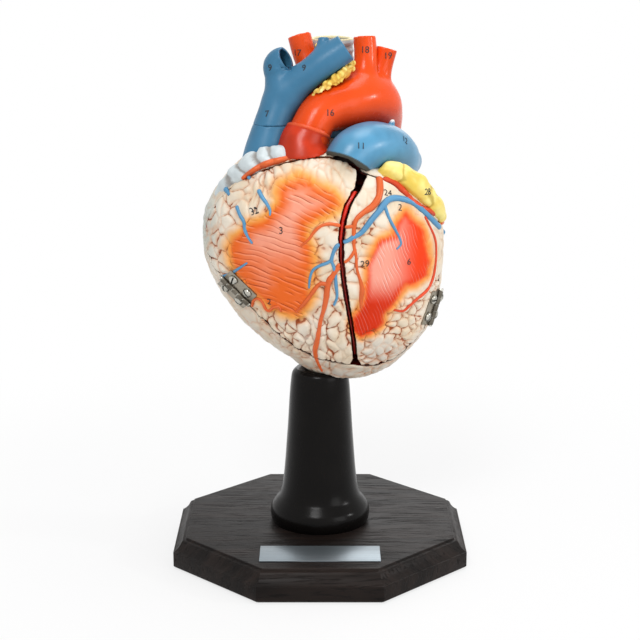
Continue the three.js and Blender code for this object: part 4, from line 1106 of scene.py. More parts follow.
def chamber_tone(look, paints, height):
    """Red inside a chamber, darker low down; at the crack's top, tan painted light and dark grey painted
    shade where one looks in.
    """
    top = look.step(0.262, 0.272, height)
    chamber = look.mix(look.step(0.245, 0.225, height), paints.chamber, paints.chamber_deep)
    # At the crack's top: tan painted light that lifts the shade on the left, and dark grey painted shade
    # further right
    chamber = look.mix(top, chamber, paint("C98A62"))
    return look.mix(top * look.step(0.006, 0.012, look.axis(0)), chamber, paint("6A5F5C"))


def wall_look(paints):
    """Cream fat with stained cracks, airbrushed muscle, and red inside."""
    look = Look("heart_wall_paint")
    soft = look.noise(45, 3)
    fine = look.noise(330, 3)
    height = look.axis(2)
    tone = muscle_tone(look, paints, fat_tone(look, paints, soft, height), soft, height)
    tone = look.mix(look.values("swollen") * 0.7, tone, look.mix(soft, paint("E8D2C4"), paint("DDBFAE")))
    # Painted shade: dark brown where the doors' edges turn into the seam
    tone = look.mix(look.values("seam") * 0.85, tone, paint("4A3A30"))
    tone = look.mix(look.step(0.8, 1.4, look.values("depth")), tone, chamber_tone(look, paints, height))
    rough_tone = look.mix(look.step(0.35, 0.7, look.noise(120, 3)), paint("A8241A"), paint("D06A52"))
    tone = look.mix(look.values("inner"), tone, rough_tone)
    return look.surface({
        "Base Color": tone, "Roughness": look.step(0.2, 0.8, fine) * 0.12 + 0.3,
        "Normal": look.bump(fine * 0.5 + soft * 0.6, 0.0004, 0.4), "Specular IOR Level": 0.15,
    })


def lobe_row(obj, tube, count, rise, seed, slim, shift, rough):
    """Slims a piece and pinches it into lobes that follow one another along a tube."""
    points = coordinates(obj)
    line, _ = tube_line(*tube)
    nearest, _ = nearest_on(line, points)
    share = nearest / (len(line) - 1)
    phase = share * count + 0.3 * clouds(points, 11, seed) + 0.12 * clouds(points, 5, seed)
    near = np.abs(phase - np.round(phase))
    near[(share < 0.4 / count) | (share > 1 - 0.4 / count)] = 0.5
    pillow = np.sin(near * math.pi) ** 0.6
    points = points + vertex_normals(obj) * (rise * (pillow - 0.62))[:, None]
    points = points + vertex_normals(obj) * (rough * clouds(points, 7, seed))[:, None]
    points = line[nearest] + (points - line[nearest]) * slim + shift
    set_coordinates(obj, relax(points, edge_list(obj), 4))
    length = np.linalg.norm(np.diff(line, axis=0), axis=1).sum()
    add_values(obj, "crease", near * length / count * 1.3)


def to_pixels(points):
    """Places of points in the heart's millimetres in the camera's picture."""
    turn = np.array(Matrix.Rotation(math.pi / 2 - CAMERA_TILT, 3, "X"))
    own = (metres(points) - np.array(CAMERA_PLACE)) @ turn
    focal = PICTURE * LENS / SENSOR
    return PICTURE / 2 + focal * own[:, 0] / -own[:, 2], PICTURE / 2 - focal * own[:, 1] / -own[:, 2]


def crease_look(name, tone, deep, light=None, patches=55):
    """Lobed paint with painted shade in its creases, a darker tone washed into them."""
    look = Look(name)
    crease = look.values("crease")
    soft = look.noise(patches, 3)
    fine = look.noise(360, 2)
    base = look.mix(look.step(0.35, 0.7, soft), tone, light or tinted(tone, 1.15, 0.02))
    # Painted shade: the deep tone darkens the creases between the lobes
    base = look.mix((1 - look.step(0.3, 3.2, crease)) * 0.8, base, deep)
    return look.surface({
        "Base Color": base, "Roughness": look.step(0.2, 0.8, fine) * 0.12 + 0.36,
        "Normal": look.bump(fine * 0.4 + soft, 0.0004, 0.4), "Specular IOR Level": 0.4,
    })


def metal_look(name, tone, gloss, spots, scratch=(1, 1, 1), grime=None):
    """Scratched metal with dull spots, and painted shade in gaps and recesses where the named values are.
    """
    look = Look(name)
    brushed = look.noise(700, 3, scratch)
    soft = look.noise(90, 3)
    base = look.mix(look.step(0.3, 0.7, brushed), tinted(tone, 0.8), tone)
    base = look.mix(look.step(0.45, 0.7, soft) * 0.7, base, spots)
    # Painted shade: a near-black tone in the gaps and recesses
    if grime:
        base = look.mix(look.values(grime), base, paint("14110E"))
    return look.surface({
        "Base Color": base, "Metallic": 1.0,
        "Roughness": look.step(0.25, 0.75, brushed) * 0.16 + look.step(0.4, 0.7, soft) * 0.1 + gloss,
        "Normal": look.bump(brushed, 0.00012, 0.4),
    })


# Pieces, one operator for each or for a group of like ones

class HeartOperator(bpy.types.Operator):
    """Shared parts of the operators."""
    bl_options = {"REGISTER", "UNDO"}

    def execute(self, context):
        self.make(context.scene.heart_paints, context.scene.heart_sizes)
        return {"FINISHED"}


def turned(name, profile, sides, phase=0.0):
    """A solid raised from a flat polygon by extruding it up a profile of radius and height."""
    clear_selection()
    radius, height = profile[0]
    bpy.ops.mesh.primitive_circle_add(
        vertices=sides, radius=radius * MM, fill_type="NGON", location=(0, 0, height * MM),
        rotation=(0, 0, phase), enter_editmode=True)
    obj = bpy.context.active_object
    obj.name = name
    obj.data.name = name
    bpy.ops.mesh.select_all(action="SELECT")
    for (before, low), (after, high) in zip(profile, profile[1:]):
        bpy.ops.mesh.extrude_region_move(
            TRANSFORM_OT_translate={"value": (0, 0, (high - low) * MM)})
        ratio = after / before
        bpy.ops.transform.resize(value=(ratio, ratio, 1), center_override=(0, 0, high * MM))
    bpy.ops.mesh.select_all(action="SELECT")
    bpy.ops.mesh.normals_make_consistent(inside=False)
    bpy.ops.object.mode_set(mode="OBJECT")
    return made_object()


def box_piece(low, high):
    """A box between two corners, in millimetres."""
    clear_selection()
    middle = [(a + b) / 2 * MM for a, b in zip(low, high)]
    bpy.ops.mesh.primitive_cube_add(size=1, location=middle)
    bpy.context.active_object.scale = [(b - a) * MM for a, b in zip(low, high)]
    return made_object()


def rod(radius, length, middle, turn=(0, 0, 0), sides=40):
    """A round rod about a middle, upright unless it is turned, in millimetres."""
    clear_selection()
    bpy.ops.mesh.primitive_cylinder_add(
        vertices=sides, radius=radius * MM, depth=length * MM, location=[m * MM for m in middle],
        rotation=turn)
    return made_object()


def rod_along_x(radius, low, high):
    return rod(radius, high - low, ((low + high) / 2, 0, 0), (0, math.pi / 2, 0))


def join_with(obj, others, operation="UNION"):
    for other in others:
        apply_modifier(obj, "BOOLEAN", operation=operation, object=other, solver="MANIFOLD")
        bpy.data.objects.remove(other)


def cut_away(obj, *cutters):
    join_with(obj, cutters, "DIFFERENCE")


def round_edges(obj, chosen, radius, segments):
    """Rounds the edges of a piece whose two ends pass a test."""
    bpy.ops.object.mode_set(mode="EDIT")
    bpy.ops.mesh.select_all(action="DESELECT")
    bm = bmesh.from_edit_mesh(obj.data)
    for edge in bm.edges:
        edge.select_set(chosen(*(v.co for v in edge.verts)))
    bmesh.update_edit_mesh(obj.data)
    bpy.ops.mesh.bevel(offset=radius * MM, segments=segments, affect="EDGES")
    bpy.ops.object.mode_set(mode="OBJECT")


class HEART_OT_base(HeartOperator):
    """Octagonal base of open-grain wood, stained black-brown, with a moulded edge"""
    bl_idname = "heart.base"
    bl_label = "Base"

    def make(self, paints, sizes):
        half, top = BASE_ACROSS / 2, BASE_TOP_ACROSS / 2
        slope = BASE_HEIGHT - BASE_STEP - BASE_BAND
        ogee = [(top + (half - top) * run_through((1, 0.93, 0.76, 0.52, 0.36, 0.26, 0.12, 0.02), s),
                 BASE_BAND + slope * run_through((0, 0.02, 0.17, 0.45, 0.78, 0.92, 0.985, 1), s))
                for s in np.linspace(0, 1, 18)]
        profile = [(half - 1, FELT), (half, FELT + 1), (half, BASE_BAND - 0.2), *ogee,
                   (top, BASE_HEIGHT - 0.3), (top - 0.3, BASE_HEIGHT)]
        corner = 1 / math.cos(math.pi / 8)
        profile = [(float(r) * corner, float(z)) for r, z in profile]
        obj = turned("base_plinth_wood", profile, 8, math.pi / 8)
        apply_modifier(obj, "BEVEL", width=0.0011, segments=3, limit_method="ANGLE",
                       angle_limit=math.radians(28))
        for radius, top in ((NUT_SINK[0], FELT + NUT_SINK[1]), (ROD_BORE, BASE_HEIGHT + 2)):
            cut_away(obj, turned("cutter", [(radius, -2), (radius, top)], 64))
        finish_piece(obj, self.wood(paints), "root", "stained_wood", ["base_plinth"], 20)
        felt = Look("black_felt")
        fuzz = felt.noise(900, 4)
        tone = felt.mix(fuzz, paint("141312"), paint("2B2927"))
        dress_node("base_felt", felt.surface({
            "Base Color": tone, "Roughness": fuzz * 0.1 + 0.88,
            "Normal": felt.bump(fuzz, 0.0006), "Sheen Weight": 0.3}))

    @staticmethod
    def wood(paints):
        look = Look("stained_open_grain_wood")
        bend = look.noise(7, 2, output=1)
        place = look.node("ShaderNodeMix", {"data_type": "VECTOR"}, {0: 0.02, 4: look.place, 5: bend}, 1)
        pores = look.noise(4.5, 4, (7, 170, 60), place, 0.62)
        rings = look.noise(3, 3, (2.2, 40, 14), place)
        pore = look.step(0.52, 0.66, pores)
        tone = look.mix(look.step(0.35, 0.7, rings), tinted(paints.wood, 0.4), tinted(paints.wood, 1.3))
        tone = look.mix(pore * 0.75, tone, paint("0A0706"))
        return look.surface({
            "Base Color": tone, "Roughness": pore * 0.2 + look.noise(60, 3) * 0.12 + 0.36,
            "Normal": look.bump(1 - pore + rings * 0.5, 0.0005, 0.5), "Specular IOR Level": 0.12,
        })


class HEART_OT_nameplate(HeartOperator):
    """Bare aluminium plate with rounded corners"""
    bl_idname = "heart.nameplate"
    bl_label = "Nameplate"

    def make(self, paints, sizes):
        width, depth, thick = PLATE
        middle = -BASE_TOP_ACROSS / 2 + PLATE_MARGIN + depth / 2
        obj = box_piece((-width / 2, middle - depth / 2, BASE_HEIGHT),
                        (width / 2, middle + depth / 2, BASE_HEIGHT + thick))
        obj.name = obj.data.name = "nameplate_bare"
        round_edges(obj, lambda a, b: abs(a.z - b.z) > thick * MM / 2, PLATE_CORNER, 10)
        apply_modifier(obj, "BEVEL", width=0.00018, segments=2, limit_method="ANGLE")
        look = Look("brushed_aluminium")
        brushed = look.noise(120, 4, (0.05, 14, 1))
        soft = look.noise(30, 3)
        tone = look.mix(look.step(0.3, 0.7, brushed), tinted(paints.plate, 0.72), paints.plate)
        tone = look.mix(look.step(0.5, 0.75, soft) * 0.35, tone, paint("8F979D"))
        material = look.surface({
            "Base Color": tone, "Metallic": 0.9, "Roughness": brushed * 0.15 + 0.3,
            "Normal": look.bump(brushed, 0.0001, 0.3)})
        finish_piece(obj, material, "root", "bare_aluminium", ["nameplate"], 30)


class HEART_OT_post(HeartOperator):
    """Turned post with a flared foot and a rounded shoulder, in gloss black lacquer"""
    bl_idname = "heart.post"
    bl_label = "Post"

    def make(self, paints, sizes):
        def waist(share):
            return POST_NECK + (POST_TOP - POST_NECK) * share
        line = [(POST_FOOT - 1.4, 0), (POST_FOOT - 0.3, 3), (POST_FOOT, 8), (POST_FOOT - 1.2, 12.5),
                (POST_FOOT - 4, 16.5), (waist(-0.25), 20), (waist(0), 25), (waist(0.24), 36),
                (waist(0.6), 68), (waist(1), POST_HEIGHT - 9), (POST_TOP - 1.2, POST_HEIGHT - 3),
                (POST_TOP - 4, POST_HEIGHT)]
        fine = [spline(line, s) for s in np.linspace(0, 1, 72)]
        profile = [(float(r), BASE_HEIGHT + float(z)) for r, z in fine]
        obj = turned("post_turned", profile, 112)
        cut_away(obj, self.body_cutter())
        cut_away(obj, turned("cutter", [(ROD_BORE, BASE_HEIGHT - 2), (ROD_BORE, SEAT + 2)], 48))
        look = Look("gloss_black_lacquer")
        fine = look.noise(240, 3)
        worn = look.noise(50, 4)
        tone = look.mix(look.step(0.4, 0.7, worn), paints.lacquer, tinted(paints.lacquer, 1.3))
        material = look.surface({
            "Base Color": tone, "Roughness": look.step(0.3, 0.75, worn) * 0.08 + 0.2,
            "Normal": look.bump(fine, 0.00025, 0.25), "Specular IOR Level": 0.1})
        finish_piece(obj, material, "root", "black_lacquer", ["post"], 40)

    @staticmethod
    def body_cutter():
        """The lower end of the heart's body, a fit gap larger."""
        rings, sides = 28, 64
        points = np.array([
            round_body(side * 360 / sides, HEIGHTS[0] + (ring / rings) ** 1.6 * 40 + 0.02)
            for ring in range(rings + 1) for side in range(sides)])
        return ring_piece("cutter", points + body_out(points) * FIT_GAP, sides)


class HEART_OT_clamp(HeartOperator):
    """Zinc-plated rod, washer and nuts that hold base, post and heart together"""
    bl_idname = "heart.clamp"
    bl_label = "Clamp rod and nuts"

    def make(self, paints, sizes):
        zinc = metal_look("zinc_plate", paint("B9BDBF"), 0.28, paint("C9C3AE"), (1, 1, 5))
        for node in ("clamp_rod", "rod_washer", "rod_nut", "heart_nut"):
            dress_node(node, zinc)


class HEART_OT_walls(HeartOperator):
    """Back shell and the two ventricle doors, with their fat and muscle in relief"""
    bl_idname = "heart.walls"
    bl_label = "Doors and shell"

    def make(self, paints, sizes):
        look = wall_look(paints)
        for node, body, slot, step in (
                ("right_ventricle_door", "right_door", "painted_muscle", sizes.wall_step),
                ("left_ventricle_door", "left_door", "painted_muscle", sizes.wall_step),
                ("heart_back_shell", "root", "painted_fat", sizes.shell_step)):
            obj = node_copy(node, node + "_relief")
            remesh(obj, step)
            dress_wall(obj, sizes, back=node == "heart_back_shell")
            finish_piece(obj, look, body, slot, [node])


class HEART_OT_crest(HeartOperator):
    """Red crest of the septum that shows in the crack between the doors"""
    bl_idname = "heart.crest"
    bl_label = "Septum crest"

    def make(self, paints, sizes):
        heights = np.linspace(CRACK_HEIGHTS[0] + 3, CRACK_HEIGHTS[-1] - 8, 110)
        places = np.interp(heights, CRACK_HEIGHTS, CRACK_PLACES)
        widths = np.maximum(np.interp(heights, CRACK_HEIGHTS, CRACK_WIDTHS) - 1.5, 1.1)
        profile = ((-0.5, 13), (-0.5, 3.6), (-0.36, 2.7), (-0.12, 2.3), (0.12, 2.3), (0.36, 2.7),
                   (0.5, 3.6), (0.5, 13))
        wave = clouds(np.stack([places, heights * 0, heights], 1), 7, 2.0)
        points = []
        for x, z, width, bend in zip(places, heights, widths, wave):
            out = front_out(x, z)
            across = Vector((1, 0, 0))
            across = (across - out * across.dot(out)).normalized()
            top = Vector((x, front_of(x, z), z))
            for side, depth in profile:
                points.append(top + across * width * side - out * (depth + bend * 0.5))
        obj = ring_piece("septum_crest", points, len(profile))
        look = Look("wet_red_paint")
        height = look.axis(2)
        soft = look.noise(90, 3)
        tone = look.mix(look.step(0.235, 0.262, height), paint("A81C10"), paint("EA2A12"))
        tone = look.mix(look.step(0.45, 0.7, soft) * 0.4, tone, paint("5A0F0A"))
        material = look.surface({
            "Base Color": tone, "Roughness": soft * 0.1 + 0.14,
            "Normal": look.bump(look.noise(260, 2), 0.0006, 0.5)})
        finish_piece(obj, material, "root", "chamber_red", angle=50)


class HEART_OT_coronaries(HeartOperator):
    """Coronary arteries and veins raised on the doors and the shell"""
    bl_idname = "heart.coronaries"
    bl_label = "Coronary vessels"

    def make(self, paints, sizes):
        bodies = {"right_ventricle_door_relief": ("right_door", "painted_muscle"),
                  "left_ventricle_door_relief": ("left_door", "painted_muscle"),
                  "heart_back_shell_relief": ("root", "painted_fat")}
        walls = [bpy.data.objects[name] for name in bodies]
        trees = tree_of(walls)
        all_trees = tree_of(walls + [bpy.data.objects["right_auricle_lobes"]])
        # The under tone of each look is painted shade on the sides of the vessels
        looks = {
            "vein": painted("relief_vein_paint", paints.relief_vein, under=paint("2C5F86")),
            "artery": painted("relief_artery_paint", paints.relief_artery, under=paint("B5461A")),
            "red_artery": painted("relief_red_artery_paint", paint("DE4A1E"), under=paint("8E1B12")),
        }
        for name, look, radii, pixels in RELIEF_PIXELS:
            shares = np.linspace(0, 1, 10 * len(pixels))
            spread = run_through(radii, shares)
            flat = [spline([(x, y, 0) for x, y in pixels], s) for s in shares]
            fixed = name in FIXED_RELIEF
            hits = [first_hit(all_trees if fixed else trees, *pixel_ray(p)) for p in flat]
            if fixed:
                hits = [hit and (*hit[:2], walls[-1].name) for hit in hits]
            self.lay(name, hits, spread, looks[look], bodies)
        for name, look, radii, places in BACK_RELIEF:
            shares = np.linspace(0, 1, 14 * len(places))
            spread = run_through(radii, shares)
            line = np.array([spline([round_body(*p) for p in places], s) for s in shares])
            out = body_out(line)
            hits = [first_hit(trees, Vector(a), Vector(b)) for a, b in
                    zip(metres(on_body(line) + out * 12), -out)]
            self.lay(name, hits, spread, looks[look], bodies)

    @staticmethod
    def lay(name, hits, radii, material, bodies):
        """Lays a tube on each run of hits on one piece, half sunk in it."""
        runs = []
        for hit, radius in zip(hits, radii):
            if hit is None:
                runs.append([])
                continue
            if not runs or not runs[-1] or runs[-1][-1][2] != hit[2] \
                    or (runs[-1][-1][0] - hit[0]).length > 0.006:
                runs.append([])
            runs[-1].append((hit[0], hit[1], hit[2], radius))
        number = 0
        for run in runs:
            if len(run) < 4:
                continue
            line = np.array([np.array(place) / MM - (0, 0, SEAT) for place, _, _, _ in run])
            out = body_out(line)
            radius = np.array([r for _, _, _, r in run])
            edges = np.array([(i, i + 1) for i in range(len(line) - 1)])
            ends = np.ones(len(line))
            ends[[0, -1]] = 0.2
            line = relax(line, edges, 6, held=ends)
            number += 1
            label = f"{name}_{number}"
            radius = radius * (1 + 0.16 * clouds(line, 6, 3.0))
            obj = tube_piece(label, line - out * (radius * 0.12)[:, None], radius * 1.08, 16)
            own = coordinates(obj)
            # Painted shade on the sides of each vessel, where it turns away from the body
            sides = 1 - (vertex_normals(obj) * body_out(own)).sum(1)
            add_values(obj, "under", smooth_step(0.25, 1.1, sides))
            body, slot = bodies[run[0][2]]
            finish_piece(obj, material, body, slot)


class HEART_OT_aorta(HeartOperator):
    """Aortic root with its seam rim, and the arch with its branches"""
    bl_idname = "heart.aorta"
    bl_label = "Aorta"

    def make(self, paints, sizes):
        def over_seam(points):
            up = np.array(AORTA_SEAM_DIRECTION)
            return (points - AORTA_SEAM) @ up / np.linalg.norm(up)

        def rim(points):
            lip = 0.8 * np.exp(-((over_seam(points) + 1.3) / 0.9) ** 2)
            return lip + 2.2 * (1 - smooth_step(157, 174, points[:, 2]))
        root, _, _ = round_vessel("aortic_root", AORTIC_ROOT, 0.8, rim)
        # Painted highlight: the root's top, from just below the lip of the seam, is painted lighter
        add_values(root, "rim", smooth_step(-2.7, -2.1, over_seam(coordinates(root))))
        look = Look("aortic_root_paint")
        soft = look.noise(45, 3)
        tone = look.mix(look.step(0.35, 0.7, soft), paints.root, tinted(paints.root, 0.7))
        tone = look.mix(look.values("rim"), tone, paint("E4582C"))
        material = look.surface({
            "Base Color": tone, "Roughness": 0.34, "Coat Weight": 0.2, "Coat Roughness": 0.25,
            "Specular IOR Level": 0.2,
            "Normal": look.bump(look.noise(120, 2), 0.0003, 0.4)})
        finish_piece(root, material, "root", "root_red", ["aortic_root"])
        arch, outer, out = round_vessel("aortic_arch", AORTA, 0.9, bump(*ARCH_HOLLOW))
        # Darker red under the arch, partly its own paint and partly painted shade; also painted shade on
        # its cut ends and joints
        add_values(arch, "under", smooth_step(-0.1, 0.85, -out[:, 2]) * outer * 0.85
                   + (1 - outer) * 0.7)
        ends = [np.linalg.norm(coordinates(arch) - tube[0][-1], axis=1) for tube in AORTA[1:]]
        add_values(arch, "rim", (1 - smooth_step(9.6, 10.2, np.min(ends, axis=0))) * (1 - outer)
                   * smooth_step(0.3, 0.8, vertex_normals(arch)[:, 2]))
        look = painted("aorta_paint", paints.aorta, 0.23, 0.2, under=paints.aorta_shade,
                       rim=paint("F3A878"))
        finish_piece(arch, look, "great_vessels", "aorta_orange", ["aortic_arch"])


class HEART_OT_great_veins(HeartOperator):
    """Superior vena cava with its branches, its stub, and the inferior vena cava"""
    bl_idname = "heart.great_veins"
    bl_label = "Great veins"

    def make(self, paints, sizes):
        look = painted("vein_paint", paints.vein, under=tinted(paints.vein, 0.55))
        for node, body, tubes in (("superior_vena_cava", "great_vessels", CAVA),
                                  ("vena_cava_stub", "root", CAVA[:1])):
            obj, outer, out = round_vessel(node, tubes, 0.8, bump(*CAVA_SWELL))
            # Painted shade under the veins and on their cut ends
            add_values(obj, "under", (1 - outer) * 0.8 + smooth_step(0.2, 0.9, -out[:, 2]) * outer * 0.5)
            if node == "superior_vena_cava":
                self.open_end(obj)
            finish_piece(obj, look, body, "vein_blue", [node])
        obj = soft_copy("inferior_vena_cava", "_round", 0.8)
        add_values(obj, "under", np.zeros(len(obj.data.vertices)))
        finish_piece(obj, look, "root", "vein_blue", ["inferior_vena_cava"])

    @staticmethod
    def open_end(obj):
        """Ends the right branch in a bend that opens to the side."""
        level = SEAT + VEIN_CUT_HEIGHT
        cut_away(obj, box_piece((-60, -40, level), (-20, 30, level + 60)))
        shares = np.linspace(0, 1, 40)
        line = np.array([spline(VEIN_BEND[0], share) for share in shares])
        radii = run_through(VEIN_BEND[1], shares)
        bend = tube_piece("bend", line[8:], radii[8:], 64)
        bore = tube_piece("bore", line, radii - 1.7, 48)
        turn = Vector(VEIN_CUT_OUT).to_track_quat("Z", "X").to_matrix().to_4x4()
        # Painted shade inside the open end, on the faces left by the bore
        for piece, value, start in ((bend, 0, 0), (bore, 1.3, 1)):
            cutter = box_piece((-15, -15, start), (15, 15, 20))
            cutter.data.transform(Matrix.Translation(metres(VEIN_CUT_PLACE)) @ turn)
            add_values(piece, "under", np.full(len(piece.data.vertices), value))
            cut_away(piece, cutter)
        join_with(obj, [bend])
        cut_away(obj, bore)


class HEART_OT_trunk(HeartOperator):
    """Pulmonary trunk with its branches and the small remnant on its top"""
    bl_idname = "heart.trunk"
    bl_label = "Pulmonary trunk"

    def make(self, paints, sizes):
        obj, outer, out = round_vessel("pulmonary_trunk", TRUNK, 0.8)
        points = coordinates(obj)
        tip = smooth_step(TRUNK_TIP[1], TRUNK_TIP[1] + 0.8, points[:, 2])
        tip = tip * (np.abs(points[:, 0] - TRUNK_TIP[0]) < 4)
        # Painted shade under the trunk and on its cut ends
        add_values(obj, "under", (1 - outer) * (1 - tip) * 0.6
                   + smooth_step(-0.1, 0.9, -out[:, 2]) * outer * 0.7)
        add_values(obj, "tip", tip)
        # Painted shadow: the trunk's foot below the edge seen by the camera is dark grey-green and matt
        across, down = to_pixels(points)
        edge = np.array(TRUNK_EDGE_PIXELS, float)
        foot = smooth_step(-0.4, 0.6, down - np.interp(across, edge[:, 0], edge[:, 1]))
        foot *= (1 - smooth_step(edge[-1, 0] - 1, edge[-1, 0] + 1, across)) * (points[:, 1] < -20)
        add_values(obj, "foot", foot)
        look = Look("trunk_paint")
        soft = look.noise(38, 3)
        base = look.mix(look.step(0.3, 0.75, soft), tinted(paints.trunk, 0.85),
                        tinted(paints.trunk, 1.12, 0.02))
        # Painted shade underneath, the white tip, and the painted shadow on the foot
        for mark, code in (("under", "1F628C"), ("tip", "F2F0EC"), ("foot", "3E3F37")):
            base = look.mix(look.values(mark), base, paint(code))
        fine = look.noise(420, 2)
        bare = 1 - look.values("foot")
        material = look.surface({
            "Base Color": base, "Roughness": fine * 0.1 + (0.8 - bare * 0.5), "Coat Weight": bare * 0.12,
            "Coat Roughness": 0.25, "Normal": look.bump(fine * 0.4 + look.noise(90, 2), 0.0003, 0.35)})
        finish_piece(obj, material, "root", "trunk_blue", ["pulmonary_trunk"])


class HEART_OT_windpipe(HeartOperator):
    """Windpipe with its cartilage rings and the two main bronchi"""
    bl_idname = "heart.windpipe"
    bl_label = "Windpipe"

    def make(self, paints, sizes):
        def wave(points):
            return np.cos(points[:, 2] * 2 * math.pi / RING_PITCH)

        def rings(points):
            return 0.55 * wave(points) * smooth_step(40, 30, points[:, 1]) - 0.2
        obj, outer, _ = round_vessel("trachea", WINDPIPE, 0.8, rings)
        points = coordinates(obj)
        # Painted shade in the grooves between the rings and on the cut ends
        add_values(obj, "under", smooth_step(-0.2, 1.0, -wave(points)) * 0.4 * outer + (1 - outer) * 0.6)
        top = WINDPIPE[0][0][-1][2]
        add_values(obj, "rim", smooth_step(top - 1.6, top - 0.8, points[:, 2]))
        look = painted("windpipe_paint", paints.airway, 0.45, under=paint("8E8A80"), rim=paint("DFD3A4"))
        finish_piece(obj, look, "great_vessels", "airway_grey", ["trachea"])


class HEART_OT_loose_fat(HeartOperator):
    """Lumpy yellow fat between the arch and the veins"""
    bl_idname = "heart.loose_fat"
    bl_label = "Loose fat"

    def make(self, paints, sizes):
        obj = soft_copy("mediastinal_fat", "_lumps", 0.7, 10)
        swell(obj, 5.6, 1.9, groove=0.5, rounding=0.5)
        points = coordinates(obj)
        middle = points.mean(0)
        set_coordinates(obj, middle + (points - middle) * (0.86, 1, 1) + (-0.8, -4.2, -0.6))
        # The second tone is painted shade in the creases
        look = crease_look("yellow_fat_paint", paint("F8DA62"), paint("DDA93A"), paint("FFF0A8"))
        finish_piece(obj, look, "great_vessels", "fat_yellow", ["mediastinal_fat"])


class HEART_OT_auricles(HeartOperator):
    """Left auricle in yellow lobes and right auricle in pale grey ones"""
    bl_idname = "heart.auricles"
    bl_label = "Auricles"

    def make(self, paints, sizes):
        left = soft_copy("left_auricle", "_lobes", 0.7, 10)
        lobe_row(left, LEFT_AURICLE, 3, 1.5, 2.0, 0.9, (0, 0, -2.2), 1.1)
        # The second tone of each auricle's look is painted shade in the creases between its lobes
        finish_piece(left, crease_look("left_auricle_paint", paints.yellow, paint("B89A30"),
                                       paint("F8E88E")), "root", "fat_yellow", ["left_auricle"])
        right = soft_copy("right_auricle", "_lobes", 0.7, 10)
        lobe_row(right, RIGHT_AURICLE, 5, 2.4, 5.0, 0.95, (6.5, -2, -1), 1.5)
        finish_piece(right, crease_look("right_auricle_paint", paints.atrium, paint("8A8078")),
                     "root", "atrium_grey", ["right_auricle"])


class HEART_OT_pulmonary_veins(HeartOperator):
    """Four cut pulmonary veins at the back"""
    bl_idname = "heart.pulmonary_veins"
    bl_label = "Pulmonary veins"

    def make(self, paints, sizes):
        look = painted("pulmonary_vein_paint", paints.root, gloss=0.34)
        for side in ("left", "right"):
            for level in ("upper", "lower"):
                node = f"{level}_{side}_pulmonary_vein"
                obj = soft_copy(node, "_round", 0.7)
                finish_piece(obj, look, "root", "root_red", [node])


class HEART_OT_chambers(HeartOperator):
    """Valve wall, septum, the four valves and the papillary muscles"""
    bl_idname = "heart.chambers"
    bl_label = "Chambers and valves"

    def make(self, paints, sizes):
        # The deep chamber tone is painted shade in the creases of the rough walls
        red = crease_look("chamber_paint", paints.chamber, paints.chamber_deep,
                          paint("C8503C"), 70)
        for node, size, rise in (("valve_wall", 12, 0.8), ("ventricular_septum", 9, 1.0)):
            obj = soft_copy(node, "_rough", 0.9, 6)
            swell(obj, size, rise, groove=1.2)
            finish_piece(obj, red, "root", "chamber_red", [node])
        cream = painted("leaflet_paint", paints.leaflet, speckle=paint("D9957A"), gloss=0.4)
        dress_node("aortic_valve", cream)
        for node in ("tricuspid_valve", "mitral_valve", "pulmonary_valve"):
            obj = soft_copy(node, "_soft", 0.45, 6)
            finish_piece(obj, cream, "root", "leaflet_cream", [node])
        for side in ("right", "left"):
            for end in ("front", "back"):
                node = f"{side}_papillary_muscle_{end}"
                obj = soft_copy(node, "_soft", 0.5, 5)
                swell(obj, 7, 0.5, groove=1.2)
                finish_piece(obj, red, "root", "chamber_red", [node])


